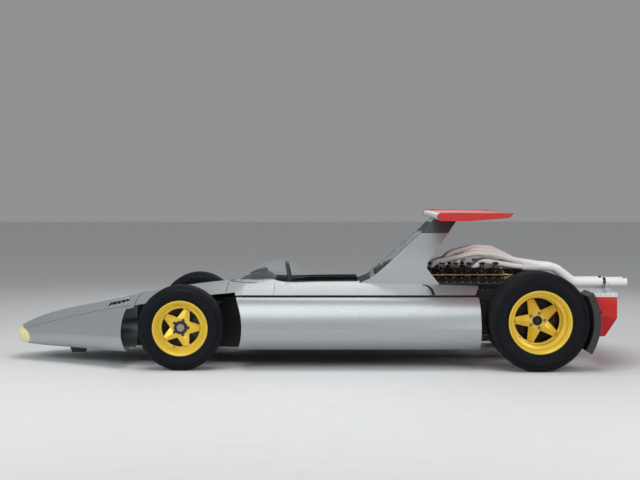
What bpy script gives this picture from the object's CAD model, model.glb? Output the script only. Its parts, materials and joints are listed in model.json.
"""Looks of the open wheel racing car: finishes, fine detail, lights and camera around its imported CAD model.

Everything is in metres, in the car's own frame: +X towards the tail, +Y towards the car's right-hand side
and +Z up, with the origin on the floor at the middle of the car.
"""

import json
import logging
import math
from dataclasses import dataclass
from enum import Enum
from typing import Iterable, Sequence

import bmesh
import bpy
from mathutils import Matrix, Vector
from mathutils.bvhtree import BVHTree

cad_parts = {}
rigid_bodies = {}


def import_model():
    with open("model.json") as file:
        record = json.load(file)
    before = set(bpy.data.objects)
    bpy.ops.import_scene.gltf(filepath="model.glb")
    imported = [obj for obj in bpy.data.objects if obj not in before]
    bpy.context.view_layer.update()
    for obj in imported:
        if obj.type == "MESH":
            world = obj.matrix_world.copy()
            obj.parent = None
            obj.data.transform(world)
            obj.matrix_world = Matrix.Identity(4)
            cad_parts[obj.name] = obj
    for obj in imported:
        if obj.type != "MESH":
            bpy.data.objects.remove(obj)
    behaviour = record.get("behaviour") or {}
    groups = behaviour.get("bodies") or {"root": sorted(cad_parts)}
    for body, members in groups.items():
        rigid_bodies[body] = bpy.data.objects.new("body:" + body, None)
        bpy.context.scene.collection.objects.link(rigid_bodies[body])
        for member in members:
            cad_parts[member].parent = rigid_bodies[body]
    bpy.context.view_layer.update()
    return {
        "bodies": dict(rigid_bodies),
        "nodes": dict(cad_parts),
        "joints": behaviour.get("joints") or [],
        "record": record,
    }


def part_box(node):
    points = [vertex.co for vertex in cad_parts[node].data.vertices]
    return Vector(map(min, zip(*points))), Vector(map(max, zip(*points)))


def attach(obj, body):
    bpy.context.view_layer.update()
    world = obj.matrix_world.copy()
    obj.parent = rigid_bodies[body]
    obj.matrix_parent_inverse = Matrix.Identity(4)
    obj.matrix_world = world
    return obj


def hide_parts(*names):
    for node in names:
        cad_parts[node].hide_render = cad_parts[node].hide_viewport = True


logging.basicConfig(level=logging.INFO, format="%(name)s: %(message)s")
LOG = logging.getLogger("racing_car")

Point = tuple[float, float, float]
Colour = tuple[float, float, float]
Profile = Sequence[tuple[float, float]]
Spot = tuple[Vector, Vector]  # a place on a surface, and the normal there

TAILWARD, UPWARD = (1, 0, 0), (0, 0, 1)  # directions
FRONT_AXLE_X = -0.950
REAR_AXLE_X, REAR_AXLE_Z = 1.450, 0.332
PYLON_JOINT_Z = 0.905  # height of the joint across the pylon, above which its paint is darker
WING_JOINT_X = 0.829  # X of the joint across the wing, ahead of which its skin is grey

# radius and height of each kind of fastener
QUARTER_TURN = (0.0065, 0.0022)
PANEL_RIVET = (0.0026, 0.0011)
FLOOR_RIVET = (0.0034, 0.0013)
CAP_RIVET = (0.0042, 0.0018)
GUARD_RIVET = (0.0042, 0.0020)
PYLON_RIVET = (0.0030, 0.0012)
WING_RIVET = (0.0028, 0.0010)


class Side(Enum):
    """A side of the car, with the sign of its Y."""

    LEFT = -1
    RIGHT = 1

    @property
    def word(self) -> str:
        """Name of the side, as the CAD nodes spell it."""
        return self.name.lower()


class End(Enum):
    """An end of the car."""

    FRONT = "front"
    REAR = "rear"


# ------------------------------------------------------------------ shader node groups


def add_node(tree: bpy.types.NodeTree, kind: str, **values: float) -> bpy.types.Node:
    """Adds a node and sets some of its inputs.

    Args:
        tree: Tree that gets the node.
        kind: Type of the node, without the words that all types start with.
        **values: Values by input name, with an underscore for each space.

    Returns:
        The node.
    """
    node = tree.nodes.new(f"ShaderNode{kind}")
    for label, value in values.items():
        node.inputs[label.replace("_", " ")].default_value = value
    return node


class Effects:
    """Shader node groups that several finishes share. Each is built once, on first use."""

    @staticmethod
    def _new(name: str, inputs: Sequence[tuple[str, float]], outputs: Sequence[str]) -> bpy.types.NodeTree:
        """Makes an empty group.

        Args:
            name: Name of the group.
            inputs: Name and default value of each input.
            outputs: Names of the outputs, all single values.

        Returns:
            The group, with its input and output nodes.
        """
        tree = bpy.data.node_groups.new(name, "ShaderNodeTree")
        for label, value in inputs:
            socket = tree.interface.new_socket(name=label, in_out="INPUT", socket_type="NodeSocketFloat")
            socket.default_value = value
        for label in outputs:
            tree.interface.new_socket(name=label, in_out="OUTPUT", socket_type="NodeSocketFloat")
        tree.nodes.new("NodeGroupInput").name = "in"
        tree.nodes.new("NodeGroupOutput").name = "out"
        return tree

    @staticmethod
    def maths(tree: bpy.types.NodeTree, kind: str, a: object, b: object, clamp: bool = False) -> object:
        """Adds a Math node.

        Args:
            tree: Tree that gets the node.
            kind: Operation, as Blender names it.
            a: First socket or number.
            b: Second socket or number.
            clamp: Whether the result is held between 0 and 1.

        Returns:
            The node's output socket.
        """
        node = add_node(tree, "Math")
        node.operation, node.use_clamp = kind, clamp
        for slot, value in enumerate((a, b)):
            if isinstance(value, (int, float)):
                node.inputs[slot].default_value = value
            elif value is not None:
                tree.links.new(value, node.inputs[slot])
        return node.outputs[0]

    @classmethod
    def weathering(cls) -> bpy.types.NodeTree:
        """Cloudy dust that grows thicker towards the floor.

        Returns:
            A group with inputs Scale, Amount, Low and High, and an output Mask.
        """
        found = bpy.data.node_groups.get("weathering")
        if found:
            return found
        tree = cls._new(
            "weathering", [("Scale", 6.0), ("Amount", 0.3), ("Low", 0.0), ("High", 0.6)], ["Mask"]
        )
        put, nodes = tree.links.new, tree.nodes
        coords = add_node(tree, "TexCoord")
        noise = add_node(tree, "TexNoise", Detail=6.0, Roughness=0.62)
        put(coords.outputs["Object"], noise.inputs["Vector"])
        put(nodes["in"].outputs["Scale"], noise.inputs["Scale"])
        place = add_node(tree, "SeparateXYZ")
        put(coords.outputs["Object"], place.inputs[0])
        height = add_node(tree, "MapRange", To_Min=1.0, To_Max=0.15)
        put(place.outputs["Z"], height.inputs["Value"])
        put(nodes["in"].outputs["Low"], height.inputs["From Min"])
        put(nodes["in"].outputs["High"], height.inputs["From Max"])
        cloudy = cls.maths(tree, "MULTIPLY", noise.outputs["Fac"], height.outputs[0])
        shown = cls.maths(tree, "MULTIPLY", cloudy, nodes["in"].outputs["Amount"], clamp=True)
        put(shown, nodes["out"].inputs["Mask"])
        return tree

    @classmethod
    def grain(cls) -> bpy.types.NodeTree:
        """Two sizes of fine noise, for cast, crackled or pebbled skins.

        Returns:
            A group with inputs Scale, Coarse and Fine, and outputs Height and Tint.
        """
        found = bpy.data.node_groups.get("grain")
        if found:
            return found
        tree = cls._new("grain", [("Scale", 200.0), ("Coarse", 0.5), ("Fine", 0.5)], ["Height", "Tint"])
        put, nodes = tree.links.new, tree.nodes
        coords = add_node(tree, "TexCoord")
        cells = add_node(tree, "TexVoronoi")
        cells.feature = "SMOOTH_F1"
        fine = add_node(tree, "TexNoise", Detail=4.0)
        tint = add_node(tree, "TexNoise", Detail=3.0)
        for node in (cells, fine, tint):
            put(coords.outputs["Object"], node.inputs["Vector"])
        put(nodes["in"].outputs["Scale"], cells.inputs["Scale"])
        put(cls.maths(tree, "MULTIPLY", nodes["in"].outputs["Scale"], 2.7), fine.inputs["Scale"])
        put(cls.maths(tree, "MULTIPLY", nodes["in"].outputs["Scale"], 0.06), tint.inputs["Scale"])
        coarse = cls.maths(tree, "MULTIPLY", cells.outputs["Distance"], nodes["in"].outputs["Coarse"])
        small = cls.maths(tree, "MULTIPLY", fine.outputs["Fac"], nodes["in"].outputs["Fine"])
        put(cls.maths(tree, "ADD", coarse, small), nodes["out"].inputs["Height"])
        put(tint.outputs["Fac"], nodes["out"].inputs["Tint"])
        return tree

    @classmethod
    def brushing(cls) -> bpy.types.NodeTree:
        """Long fine scratches along X, for worked metal and flatted paint.

        Returns:
            A group with inputs Scale and Stretch, and an output Lines.
        """
        found = bpy.data.node_groups.get("brushing")
        if found:
            return found
        tree = cls._new("brushing", [("Scale", 60.0), ("Stretch", 0.04)], ["Lines"])
        put, nodes = tree.links.new, tree.nodes
        coords = add_node(tree, "TexCoord")
        place = add_node(tree, "SeparateXYZ")
        put(coords.outputs["Object"], place.inputs[0])
        joined = add_node(tree, "CombineXYZ")
        put(cls.maths(tree, "MULTIPLY", place.outputs["X"], nodes["in"].outputs["Stretch"]),
            joined.inputs["X"])
        put(place.outputs["Y"], joined.inputs["Y"])
        put(place.outputs["Z"], joined.inputs["Z"])
        noise = add_node(tree, "TexNoise", Detail=5.0)
        put(joined.outputs[0], noise.inputs["Vector"])
        put(nodes["in"].outputs["Scale"], noise.inputs["Scale"])
        put(noise.outputs["Fac"], nodes["out"].inputs["Lines"])
        return tree


# ------------------------------------------------------------------ finishes


@dataclass(frozen=True)
class Finish:
    """A surface finish, and the material made from it.

    Attributes:
        name: Name of the material.
        colour: Main colour.
        second: Colour of its soft variation.
        variation: How much of the second colour shows.
        metallic: Metallic of the shader.
        roughness: Middle roughness.
        rough_swing: How far roughness wanders from its middle.
        coat: Weight of a clear coat.
        specular: Strength of the plain reflection, 0.5 being that of common plastics.
        grain_scale: Cells for each metre in its grain, or 0 for none.
        grain_depth: Height of the grain, in metres.
        grain_cells: Share of the grain that is cells rather than fine noise.
        brushed: How much brushing shows in its roughness.
        dust: How much dust lies on it.
        dust_colour: Colour of that dust.
    """

    name: str
    colour: Colour
    second: Colour
    variation: float = 0.25
    metallic: float = 0.0
    roughness: float = 0.4
    rough_swing: float = 0.08
    coat: float = 0.0
    specular: float = 0.5
    grain_scale: float = 0.0
    grain_depth: float = 0.0
    grain_cells: float = 0.5
    brushed: float = 0.0
    dust: float = 0.0
    dust_colour: Colour = (0.30, 0.28, 0.25)

    def material(self) -> bpy.types.Material:
        """Builds the material once and gives it back after that.

        Returns:
            The node material.
        """
        found = bpy.data.materials.get(self.name)
        if found:
            return found
        made = bpy.data.materials.new(self.name)
        made.use_nodes = True
        tree = made.node_tree
        shader = tree.nodes["Principled BSDF"]
        shader.inputs["Metallic"].default_value = self.metallic
        shader.inputs["Specular IOR Level"].default_value = self.specular
        if self.coat:
            shader.inputs["Coat Weight"].default_value = self.coat
            shader.inputs["Coat Roughness"].default_value = 0.06
        grain = self.effect(tree, Effects.grain(), Scale=self.grain_scale or 90.0, Coarse=self.grain_cells,
                            Fine=1 - self.grain_cells)
        colour = self._blend(tree, grain.outputs["Tint"], self.colour, self.second, self.variation)
        rough = self.wander(tree, grain.outputs["Tint"], self.roughness, self.rough_swing)
        if self.brushed:
            lines = self.effect(tree, Effects.brushing(), Scale=90.0, Stretch=0.03)
            extra = Effects.maths(tree, "MULTIPLY", lines.outputs["Lines"], self.brushed)
            rough = Effects.maths(tree, "ADD", rough, extra, clamp=True)
        if self.dust:
            dust = self.effect(tree, Effects.weathering(), Scale=5.0, Amount=self.dust, Low=0.05, High=0.7)
            colour = self._cover(tree, dust.outputs["Mask"], colour, self.dust_colour)
            more = Effects.maths(tree, "MULTIPLY", dust.outputs["Mask"], 0.5)
            rough = Effects.maths(tree, "ADD", rough, more, clamp=True)
        tree.links.new(colour, shader.inputs["Base Color"])
        tree.links.new(rough, shader.inputs["Roughness"])
        if self.grain_scale:
            bump = add_node(tree, "Bump", Strength=1.0, Distance=self.grain_depth)
            tree.links.new(grain.outputs["Height"], bump.inputs["Height"])
            tree.links.new(bump.outputs["Normal"], shader.inputs["Normal"])
        self.extra(tree, shader, colour)
        return made

    def extra(self, tree: bpy.types.NodeTree, shader: bpy.types.Node, colour: object) -> None:
        """Hook for what one finish adds of its own.

        Args:
            tree: The material's tree.
            shader: Its Principled BSDF.
            colour: Socket that carries the colour so far.
        """

    @staticmethod
    def effect(tree: bpy.types.NodeTree, group: bpy.types.NodeTree, **values: float) -> bpy.types.Node:
        """Places a shared effect.

        Args:
            tree: The material's tree.
            group: The effect.
            **values: Values of its inputs, by name.

        Returns:
            The group's node.
        """
        node = tree.nodes.new("ShaderNodeGroup")
        node.node_tree = group
        for label, value in values.items():
            node.inputs[label].default_value = value
        return node

    @staticmethod
    def _blend(tree: bpy.types.NodeTree, mask: object, first: Colour, second: Colour, share: float) -> object:
        """Colour that wanders between two.

        Args:
            tree: The material's tree.
            mask: Socket that says where the second colour shows.
            first: Colour where the mask is low.
            second: Colour where the mask is high.
            share: How far the mix goes.

        Returns:
            A colour socket.
        """
        spread = add_node(tree, "MapRange", From_Min=0.35, From_Max=0.65, To_Max=share)
        tree.links.new(mask, spread.inputs["Value"])
        mix = add_node(tree, "Mix")
        mix.data_type = "RGBA"
        mix.inputs["A"].default_value = (*first, 1)
        mix.inputs["B"].default_value = (*second, 1)
        tree.links.new(spread.outputs[0], mix.inputs["Factor"])
        return mix.outputs["Result"]

    @staticmethod
    def _cover(tree: bpy.types.NodeTree, mask: object, under: object, over: Colour) -> object:
        """Lays one colour over a socket's colour where the mask is high.

        Args:
            tree: The material's tree.
            mask: Socket that says where the colour lies.
            under: Colour socket below.
            over: Colour that is laid on.

        Returns:
            A colour socket.
        """
        mix = add_node(tree, "Mix")
        mix.data_type = "RGBA"
        mix.inputs["B"].default_value = (*over, 1)
        tree.links.new(mask, mix.inputs["Factor"])
        tree.links.new(under, mix.inputs["A"])
        return mix.outputs["Result"]

    @staticmethod
    def wander(tree: bpy.types.NodeTree, mask: object, middle: float, swing: float) -> object:
        """Number that wanders around its middle.

        Args:
            tree: The material's tree.
            mask: Socket that drives it.
            middle: Middle value.
            swing: How far it goes each way.

        Returns:
            A value socket.
        """
        spread = add_node(tree, "MapRange", From_Min=0.3, From_Max=0.7, To_Min=max(middle - swing, 0.02),
                          To_Max=min(middle + swing, 1.0))
        tree.links.new(mask, spread.inputs["Value"])
        return spread.outputs[0]


@dataclass(frozen=True)
class BandedFinish(Finish):
    """A finish with a second paint beyond a plane across the piece.

    Attributes:
        band: Colour of the second paint.
        axis: Axis that the border is measured along: 0 for X, 1 for Y, 2 for Z.
        border: Where the second paint starts, in metres.
        above: Whether it lies above the border, or below it.
    """

    band: Colour = (1.0, 1.0, 1.0)
    axis: int = 2
    border: float = 0.0
    above: bool = True

    def extra(self, tree: bpy.types.NodeTree, shader: bpy.types.Node, colour: object) -> None:
        """Lays the second paint on its side of the border.

        Args:
            tree: The material's tree.
            shader: Its Principled BSDF.
            colour: Socket that carries the colour so far.
        """
        coords = add_node(tree, "TexCoord")
        place = add_node(tree, "SeparateXYZ")
        tree.links.new(coords.outputs["Object"], place.inputs[0])
        kind = "GREATER_THAN" if self.above else "LESS_THAN"
        mask = Effects.maths(tree, kind, place.outputs[self.axis], self.border)
        tree.links.new(self._cover(tree, mask, colour, self.band), shader.inputs["Base Color"])


@dataclass(frozen=True)
class HeatedPipe(Finish):
    """Matte white pipe that has yellowed and greyed with heat along its length."""

    def extra(self, tree: bpy.types.NodeTree, shader: bpy.types.Node, colour: object) -> None:
        """Adds scorch marks that follow a stretched noise.

        Args:
            tree: The material's tree.
            shader: Its Principled BSDF.
            colour: Socket that carries the colour so far.
        """
        lines = self.effect(tree, Effects.brushing(), Scale=16.0, Stretch=0.45)
        spread = add_node(tree, "MapRange", From_Min=0.56, From_Max=0.78, To_Max=0.12)
        tree.links.new(lines.outputs["Lines"], spread.inputs["Value"])
        stained = self._cover(tree, spread.outputs[0], colour, (0.46, 0.42, 0.35))
        tree.links.new(stained, shader.inputs["Base Color"])


@dataclass(frozen=True)
class ClearSheet:
    """Thin clear acrylic sheet.

    Attributes:
        name: Name of the material.
        tint: Colour of the light that passes.
    """

    name: str
    tint: Colour

    def material(self) -> bpy.types.Material:
        """Builds the material once and gives it back after that.

        Returns:
            The node material.
        """
        found = bpy.data.materials.get(self.name)
        if found:
            return found
        made = bpy.data.materials.new(self.name)
        made.use_nodes = True
        tree = made.node_tree
        shader = tree.nodes["Principled BSDF"]
        shader.inputs["Base Color"].default_value = (*self.tint, 1)
        shader.inputs["Transmission Weight"].default_value = 1.0
        shader.inputs["IOR"].default_value = 1.05
        shader.inputs["Alpha"].default_value = 0.10
        grain = Finish.effect(tree, Effects.grain(), Scale=30.0, Coarse=0.2, Fine=0.8)
        rough = Finish.wander(tree, grain.outputs["Tint"], 0.05, 0.03)
        tree.links.new(rough, shader.inputs["Roughness"])
        return made


SILVER = Finish("silver_paint", (0.44, 0.475, 0.49), (0.39, 0.425, 0.44), 0.5, metallic=0.6, roughness=0.36,
                rough_swing=0.05, coat=0.25, grain_scale=900.0, grain_depth=0.00003, grain_cells=0.4,
                brushed=0.05, dust=0.10)
PYLON_SILVER = BandedFinish("pylon_paint", (0.46, 0.495, 0.51), (0.41, 0.445, 0.46), 0.5, metallic=0.6,
                            roughness=0.34, rough_swing=0.05, coat=0.25, grain_scale=900.0,
                            grain_depth=0.00003, grain_cells=0.4, brushed=0.05, dust=0.06,
                            band=(0.10, 0.115, 0.125), axis=2, border=PYLON_JOINT_Z)
CREAM = Finish("cream_paint", (0.88, 0.80, 0.42), (0.82, 0.74, 0.38), 0.4, roughness=0.3, coat=0.3, dust=0.1)
RED = Finish("red_paint", (0.68, 0.010, 0.010), (0.58, 0.008, 0.008), 0.5, specular=0.35, roughness=0.34,
             rough_swing=0.05, coat=0.15, grain_scale=500.0, grain_depth=0.00003, dust=0.05)
WHITE = BandedFinish("cap_paint", (0.84, 0.84, 0.82), (0.78, 0.78, 0.76), 0.4, roughness=0.34, coat=0.3,
                     dust=0.08, band=(0.42, 0.46, 0.49), axis=2, border=0.5052)
TUB_BLACK = Finish("tub_black", (0.012, 0.012, 0.013), (0.022, 0.022, 0.022), 0.6, specular=0.2,
                   roughness=0.5, grain_scale=260.0, grain_depth=0.0001, dust=0.25)
GUARD_BLACK = Finish("guard_black", (0.008, 0.008, 0.009), (0.018, 0.018, 0.018), 0.6, specular=0.25,
                     roughness=0.42, grain_scale=420.0, grain_depth=0.00008, dust=0.2)
SEAL_BLACK = Finish("seal_rubber", (0.006, 0.006, 0.007), (0.014, 0.014, 0.014), 0.5, specular=0.15,
                    roughness=0.7, grain_scale=700.0, grain_depth=0.00006, dust=0.1)
LEATHER = Finish("black_leather", (0.014, 0.014, 0.016), (0.03, 0.029, 0.03), 0.6, roughness=0.52,
                 rough_swing=0.1, grain_scale=420.0, grain_depth=0.0003, grain_cells=0.8, dust=0.12)
HOOD = Finish("hood_cloth", (0.030, 0.033, 0.040), (0.05, 0.052, 0.058), 0.6, roughness=0.62,
              grain_scale=900.0, grain_depth=0.0002, grain_cells=0.7, dust=0.12)
WING_PAINT = {"colour": (0.74, 0.012, 0.012), "second": (0.66, 0.009, 0.009), "variation": 0.5,
              "specular": 0.3, "roughness": 0.38, "rough_swing": 0.05, "coat": 0.2, "grain_scale": 500.0,
              "grain_depth": 0.00003, "dust": 0.03}
WING_RED = Finish("wing_red", **WING_PAINT)
WING_TOP = BandedFinish("wing_skin", **WING_PAINT, band=(0.66, 0.66, 0.65), axis=0, border=WING_JOINT_X,
                        above=False)
YELLOW = Finish("wheel_yellow", (1.0, 0.60, 0.003), (0.94, 0.55, 0.003), 0.4, specular=0.35, roughness=0.42,
                rough_swing=0.08, grain_scale=260.0, grain_depth=0.00012, dust=0.05,
                dust_colour=(0.22, 0.17, 0.10))
TYRE = Finish("tyre_rubber", (0.004, 0.005, 0.0075), (0.009, 0.010, 0.014), 0.6, specular=0.12,
              roughness=0.5, rough_swing=0.1, grain_scale=520.0, grain_depth=0.0001, dust=0.08,
              dust_colour=(0.06, 0.06, 0.06))
TREAD = Finish("tyre_tread", (0.007, 0.0075, 0.009), (0.014, 0.014, 0.016), 0.7, specular=0.12,
               roughness=0.78, rough_swing=0.1, grain_scale=380.0, grain_depth=0.0004, grain_cells=0.4,
               dust=0.15, dust_colour=(0.07, 0.07, 0.068))
CAST = Finish("cast_alloy", (0.15, 0.15, 0.148), (0.09, 0.09, 0.09), 0.7, metallic=0.75, roughness=0.54,
              rough_swing=0.1, grain_scale=320.0, grain_depth=0.0003, dust=0.3,
              dust_colour=(0.09, 0.08, 0.07))
CRACKLE = Finish("crackle_black", (0.010, 0.010, 0.011), (0.024, 0.024, 0.025), 0.6, roughness=0.46,
                 rough_swing=0.12, grain_scale=520.0, grain_depth=0.0004, grain_cells=0.9, dust=0.12)
STEEL = Finish("bright_steel", (0.55, 0.55, 0.56), (0.42, 0.42, 0.43), 0.5, metallic=1.0, roughness=0.28,
               rough_swing=0.08, brushed=0.15, grain_scale=300.0, grain_depth=0.00003, dust=0.08)
DARK_STEEL = Finish("dark_steel", (0.045, 0.045, 0.048), (0.024, 0.024, 0.025), 0.6, metallic=0.8,
                    roughness=0.45, rough_swing=0.1, brushed=0.1, grain_scale=300.0, grain_depth=0.00008,
                    dust=0.2)
IRON = Finish("disc_iron", (0.055, 0.052, 0.050), (0.034, 0.031, 0.028), 0.6, metallic=0.8, roughness=0.48,
              rough_swing=0.1, brushed=0.2, grain_scale=200.0, grain_depth=0.00006)
PIPE = HeatedPipe("white_pipe", (0.94, 0.93, 0.90), (0.88, 0.865, 0.83), 0.5, roughness=0.66,
                  rough_swing=0.12, grain_scale=240.0, grain_depth=0.0005, grain_cells=0.35)
ALLOY = Finish("bright_alloy", (0.62, 0.62, 0.63), (0.52, 0.52, 0.53), 0.5, metallic=1.0, roughness=0.32,
               brushed=0.15, grain_scale=240.0, grain_depth=0.00004)
CORE = Finish("radiator_core", (0.016, 0.016, 0.016), (0.03, 0.03, 0.03), 0.6, roughness=0.6,
              grain_scale=300.0, grain_depth=0.0003)
LEAD = Finish("ignition_lead", (0.010, 0.010, 0.012), (0.02, 0.02, 0.022), 0.5, roughness=0.38,
              grain_scale=300.0, grain_depth=0.00005)
BRASS = Finish("brass_union", (0.55, 0.38, 0.13), (0.40, 0.27, 0.09), 0.6, metallic=1.0, roughness=0.35,
               grain_scale=200.0, grain_depth=0.00004)
DIAL = Finish("dial_face", (0.012, 0.012, 0.013), (0.016, 0.016, 0.016), 0.4, roughness=0.3, coat=0.5)
PALE_MARK = Finish("pale_mark", (0.72, 0.72, 0.70), (0.66, 0.66, 0.64), 0.4, roughness=0.5)
CLEAR = ClearSheet("clear_screen", (0.92, 0.95, 0.96))
FLOOR = Finish("floor_pale", (0.80, 0.81, 0.82), (0.76, 0.77, 0.78), 0.4, roughness=0.75)


# ------------------------------------------------------------------ making meshes


class Maker:
    """Builds meshes from profiles, paths and points, and turns them into dressed pieces."""

    @staticmethod
    def placed(name: str, mesh: bmesh.types.BMesh) -> bpy.types.Object:
        """Turns a bmesh into an object of the scene and frees it.

        Args:
            name: Name of the object.
            mesh: The mesh, which is used up.

        Returns:
            The object.
        """
        data = bpy.data.meshes.new(name)
        mesh.to_mesh(data)
        mesh.free()
        made = bpy.data.objects.new(name, data)
        bpy.context.scene.collection.objects.link(made)
        return made

    @staticmethod
    def piece(name: str, mesh: bmesh.types.BMesh, finish: Finish | ClearSheet, body: str,
              smooth: float = 35.0) -> bpy.types.Object:
        """Turns a finished bmesh into an object that rides on a body.

        Args:
            name: Name of the piece.
            mesh: The mesh, which is used up.
            finish: Finish of the whole piece.
            body: CAD body that carries it.
            smooth: Angle in degrees below which edges are shaded smooth.

        Returns:
            The object.
        """
        bmesh.ops.remove_doubles(mesh, verts=mesh.verts, dist=0.00002)
        bmesh.ops.recalc_face_normals(mesh, faces=mesh.faces)
        limit = math.radians(smooth)
        for edge in mesh.edges:
            edge.smooth = len(edge.link_faces) == 2 and edge.calc_face_angle(0.0) < limit
        for face in mesh.faces:
            face.smooth = True
        made = Maker.placed(name, mesh)
        made.data.materials.append(finish.material())
        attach(made, body)
        LOG.info("%s: %d faces", name, len(made.data.polygons))
        return made

    @staticmethod
    def turned(point: Point | Vector, angle: float, axis: str) -> Matrix:
        """Place at a point, turned about one axis of the car.

        Args:
            point: Its origin.
            angle: The turn, in radians.
            axis: "X", "Y" or "Z".

        Returns:
            The matrix.
        """
        return Matrix.Translation(point) @ Matrix.Rotation(angle, 4, axis)

    @staticmethod
    def circle(place: Matrix, along: float, radius: float, count: int, first: float = 0.0) -> list[Vector]:
        """Points spaced evenly on a circle round the local X axis of a place.

        Args:
            place: Where the axis stands.
            along: Distance of the circle along the axis.
            radius: Its radius.
            count: Number of points.
            first: Angle of the first point, in radians.

        Returns:
            The points.
        """
        angles = [math.tau * i / count + first for i in range(count)]
        return [place @ Vector((along, radius * math.cos(a), radius * math.sin(a))) for a in angles]

    @staticmethod
    def band(low: float, high: float, inner: float, outer: float) -> list[tuple[float, float]]:
        """Profile of a plain ring, open towards the axis.

        Args:
            low: Distance along the axis where it starts.
            high: Distance where it ends.
            inner: Radius where its flat sides start.
            outer: Radius of its outside.

        Returns:
            The profile, for lathe.
        """
        return [(low, inner), (low, outer), (high, outer), (high, inner)]

    @staticmethod
    def skin(mesh: bmesh.types.BMesh, rows: Sequence[Sequence[bmesh.types.BMVert]],
             closed: bool = True) -> None:
        """Joins each row of corners with the next.

        Args:
            mesh: Mesh that gets the faces.
            rows: Rows with as many corners each.
            closed: Whether the last corner of a row joins its first.
        """
        for first, second in zip(rows, rows[1:]):
            for k in range(len(first) if closed else len(first) - 1):
                j = (k + 1) % len(first)
                mesh.faces.new((first[k], first[j], second[j], second[k]))

    @staticmethod
    def lathe(mesh: bmesh.types.BMesh, profile: Profile, place: Matrix, steps: int,
              closed: bool = False) -> list[bmesh.types.BMFace]:
        """Turns a profile around the local X axis of a place.

        Args:
            mesh: Mesh that gets the faces.
            profile: Points as (distance along the axis, radius).
            place: Where the axis stands.
            steps: Faces around.
            closed: Whether the last point joins the first.

        Returns:
            The new faces.
        """
        rings = []
        for along, radius in profile:
            points = Maker.circle(place, along, radius, steps) if radius else [place @ Vector((along, 0, 0))]
            rings.append([mesh.verts.new(point) for point in points])
        pairs = list(zip(rings, rings[1:])) + ([(rings[-1], rings[0])] if closed else [])
        faces = []
        for first, second in pairs:
            for i in range(steps):
                j = (i + 1) % steps
                corners = [first[i % len(first)], second[i % len(second)], second[j % len(second)],
                           first[j % len(first)]]
                unique = list(dict.fromkeys(corners))
                if len(unique) > 2:
                    faces.append(mesh.faces.new(unique))
        return faces

    @staticmethod
    def tube(mesh: bmesh.types.BMesh, path: Sequence[Point | Vector], radius: float | Sequence[float],
             steps: int = 12) -> None:
        """Lays a round tube with closed ends along points.

        Args:
            mesh: Mesh that gets the faces.
            path: Points of its middle line.
            radius: One radius, or one for each point.
            steps: Faces around.
        """
        path = [Vector(p) for p in path]
        radii = [radius] * len(path) if isinstance(radius, (int, float)) else list(radius)
        along = (path[1] - path[0]).normalized()
        side = along.orthogonal().normalized()
        rings = []
        for i, point in enumerate(path):
            before, after = path[max(i - 1, 0)], path[min(i + 1, len(path) - 1)]
            tangent = (after - before).normalized()
            side = (side - tangent * side.dot(tangent)).normalized()
            other = tangent.cross(side)
            ring = []
            for k in range(steps):
                a = math.tau * k / steps
                ring.append(mesh.verts.new(point + (side * math.cos(a) + other * math.sin(a)) * radii[i]))
            rings.append(ring)
        Maker.skin(mesh, rings)
        mesh.faces.new(list(reversed(rings[0])))
        mesh.faces.new(rings[-1])

    @staticmethod
    def curve(points: Sequence[Point | Vector], pieces: int) -> list[Vector]:
        """Rounds a few points into a smooth path that passes through them.

        Args:
            points: Points of the path.
            pieces: Steps between two points.

        Returns:
            The points of the smooth path.
        """
        pts = [Vector(p) for p in points]
        pts = [2 * pts[0] - pts[1], *pts, 2 * pts[-1] - pts[-2]]
        path = []
        for a, b, c, d in zip(pts, pts[1:], pts[2:], pts[3:]):
            for i in range(pieces):
                t = i / pieces
                path.append(0.5 * (2 * b + (c - a) * t + (2 * a - 5 * b + 4 * c - d) * t * t
                                   + (3 * b - a - 3 * c + d) * t * t * t))
        path.append(pts[-2])
        return path

    @staticmethod
    def slab(mesh: bmesh.types.BMesh, place: Matrix, size: Point, bevel: float = 0.0) -> None:
        """Adds a box with softened edges.

        Args:
            mesh: Mesh that gets the faces.
            place: Where its middle stands.
            size: Its three lengths.
            bevel: Width of the softened edges.
        """
        part = bmesh.new()
        bmesh.ops.create_cube(part, size=1.0, matrix=Matrix.Diagonal((*size, 1.0)))
        if bevel:
            bmesh.ops.bevel(part, geom=list(part.edges), offset=bevel, segments=2, affect="EDGES",
                            profile=0.6)
        bmesh.ops.transform(part, matrix=place, verts=part.verts)
        Maker.merge(mesh, part)

    @staticmethod
    def merge(mesh: bmesh.types.BMesh, part: bmesh.types.BMesh) -> None:
        """Copies one bmesh into another and frees it.

        Args:
            mesh: Mesh that gets the faces.
            part: Mesh that is copied.
        """
        kept = {v: mesh.verts.new(v.co) for v in part.verts}
        for face in part.faces:
            mesh.faces.new([kept[v] for v in face.verts])
        part.free()

    @staticmethod
    def bolt(mesh: bmesh.types.BMesh, point: Point | Vector, normal: Point | Vector, radius: float,
             height: float, washer: bool = True) -> None:
        """Adds a hexagon bolt head on its washer.

        Args:
            mesh: Mesh that gets the faces.
            point: Where it sits on the surface.
            normal: Direction out of the surface.
            radius: Half its width over the corners.
            height: Height of the head.
            washer: Whether a washer lies under it.
        """
        place = Maker.facing(point, normal)
        if washer:
            Maker.lathe(mesh, [(0, 0), (0, radius * 1.45), (height * 0.25, radius * 1.4), (height * 0.25, 0)],
                        place, 16)
        base = height * 0.25 if washer else 0.0
        Maker.lathe(mesh, [(base, 0), (base, radius), (base + height * 0.85, radius),
                           (base + height, radius * 0.82), (base + height, 0)], place, 6)

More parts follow.
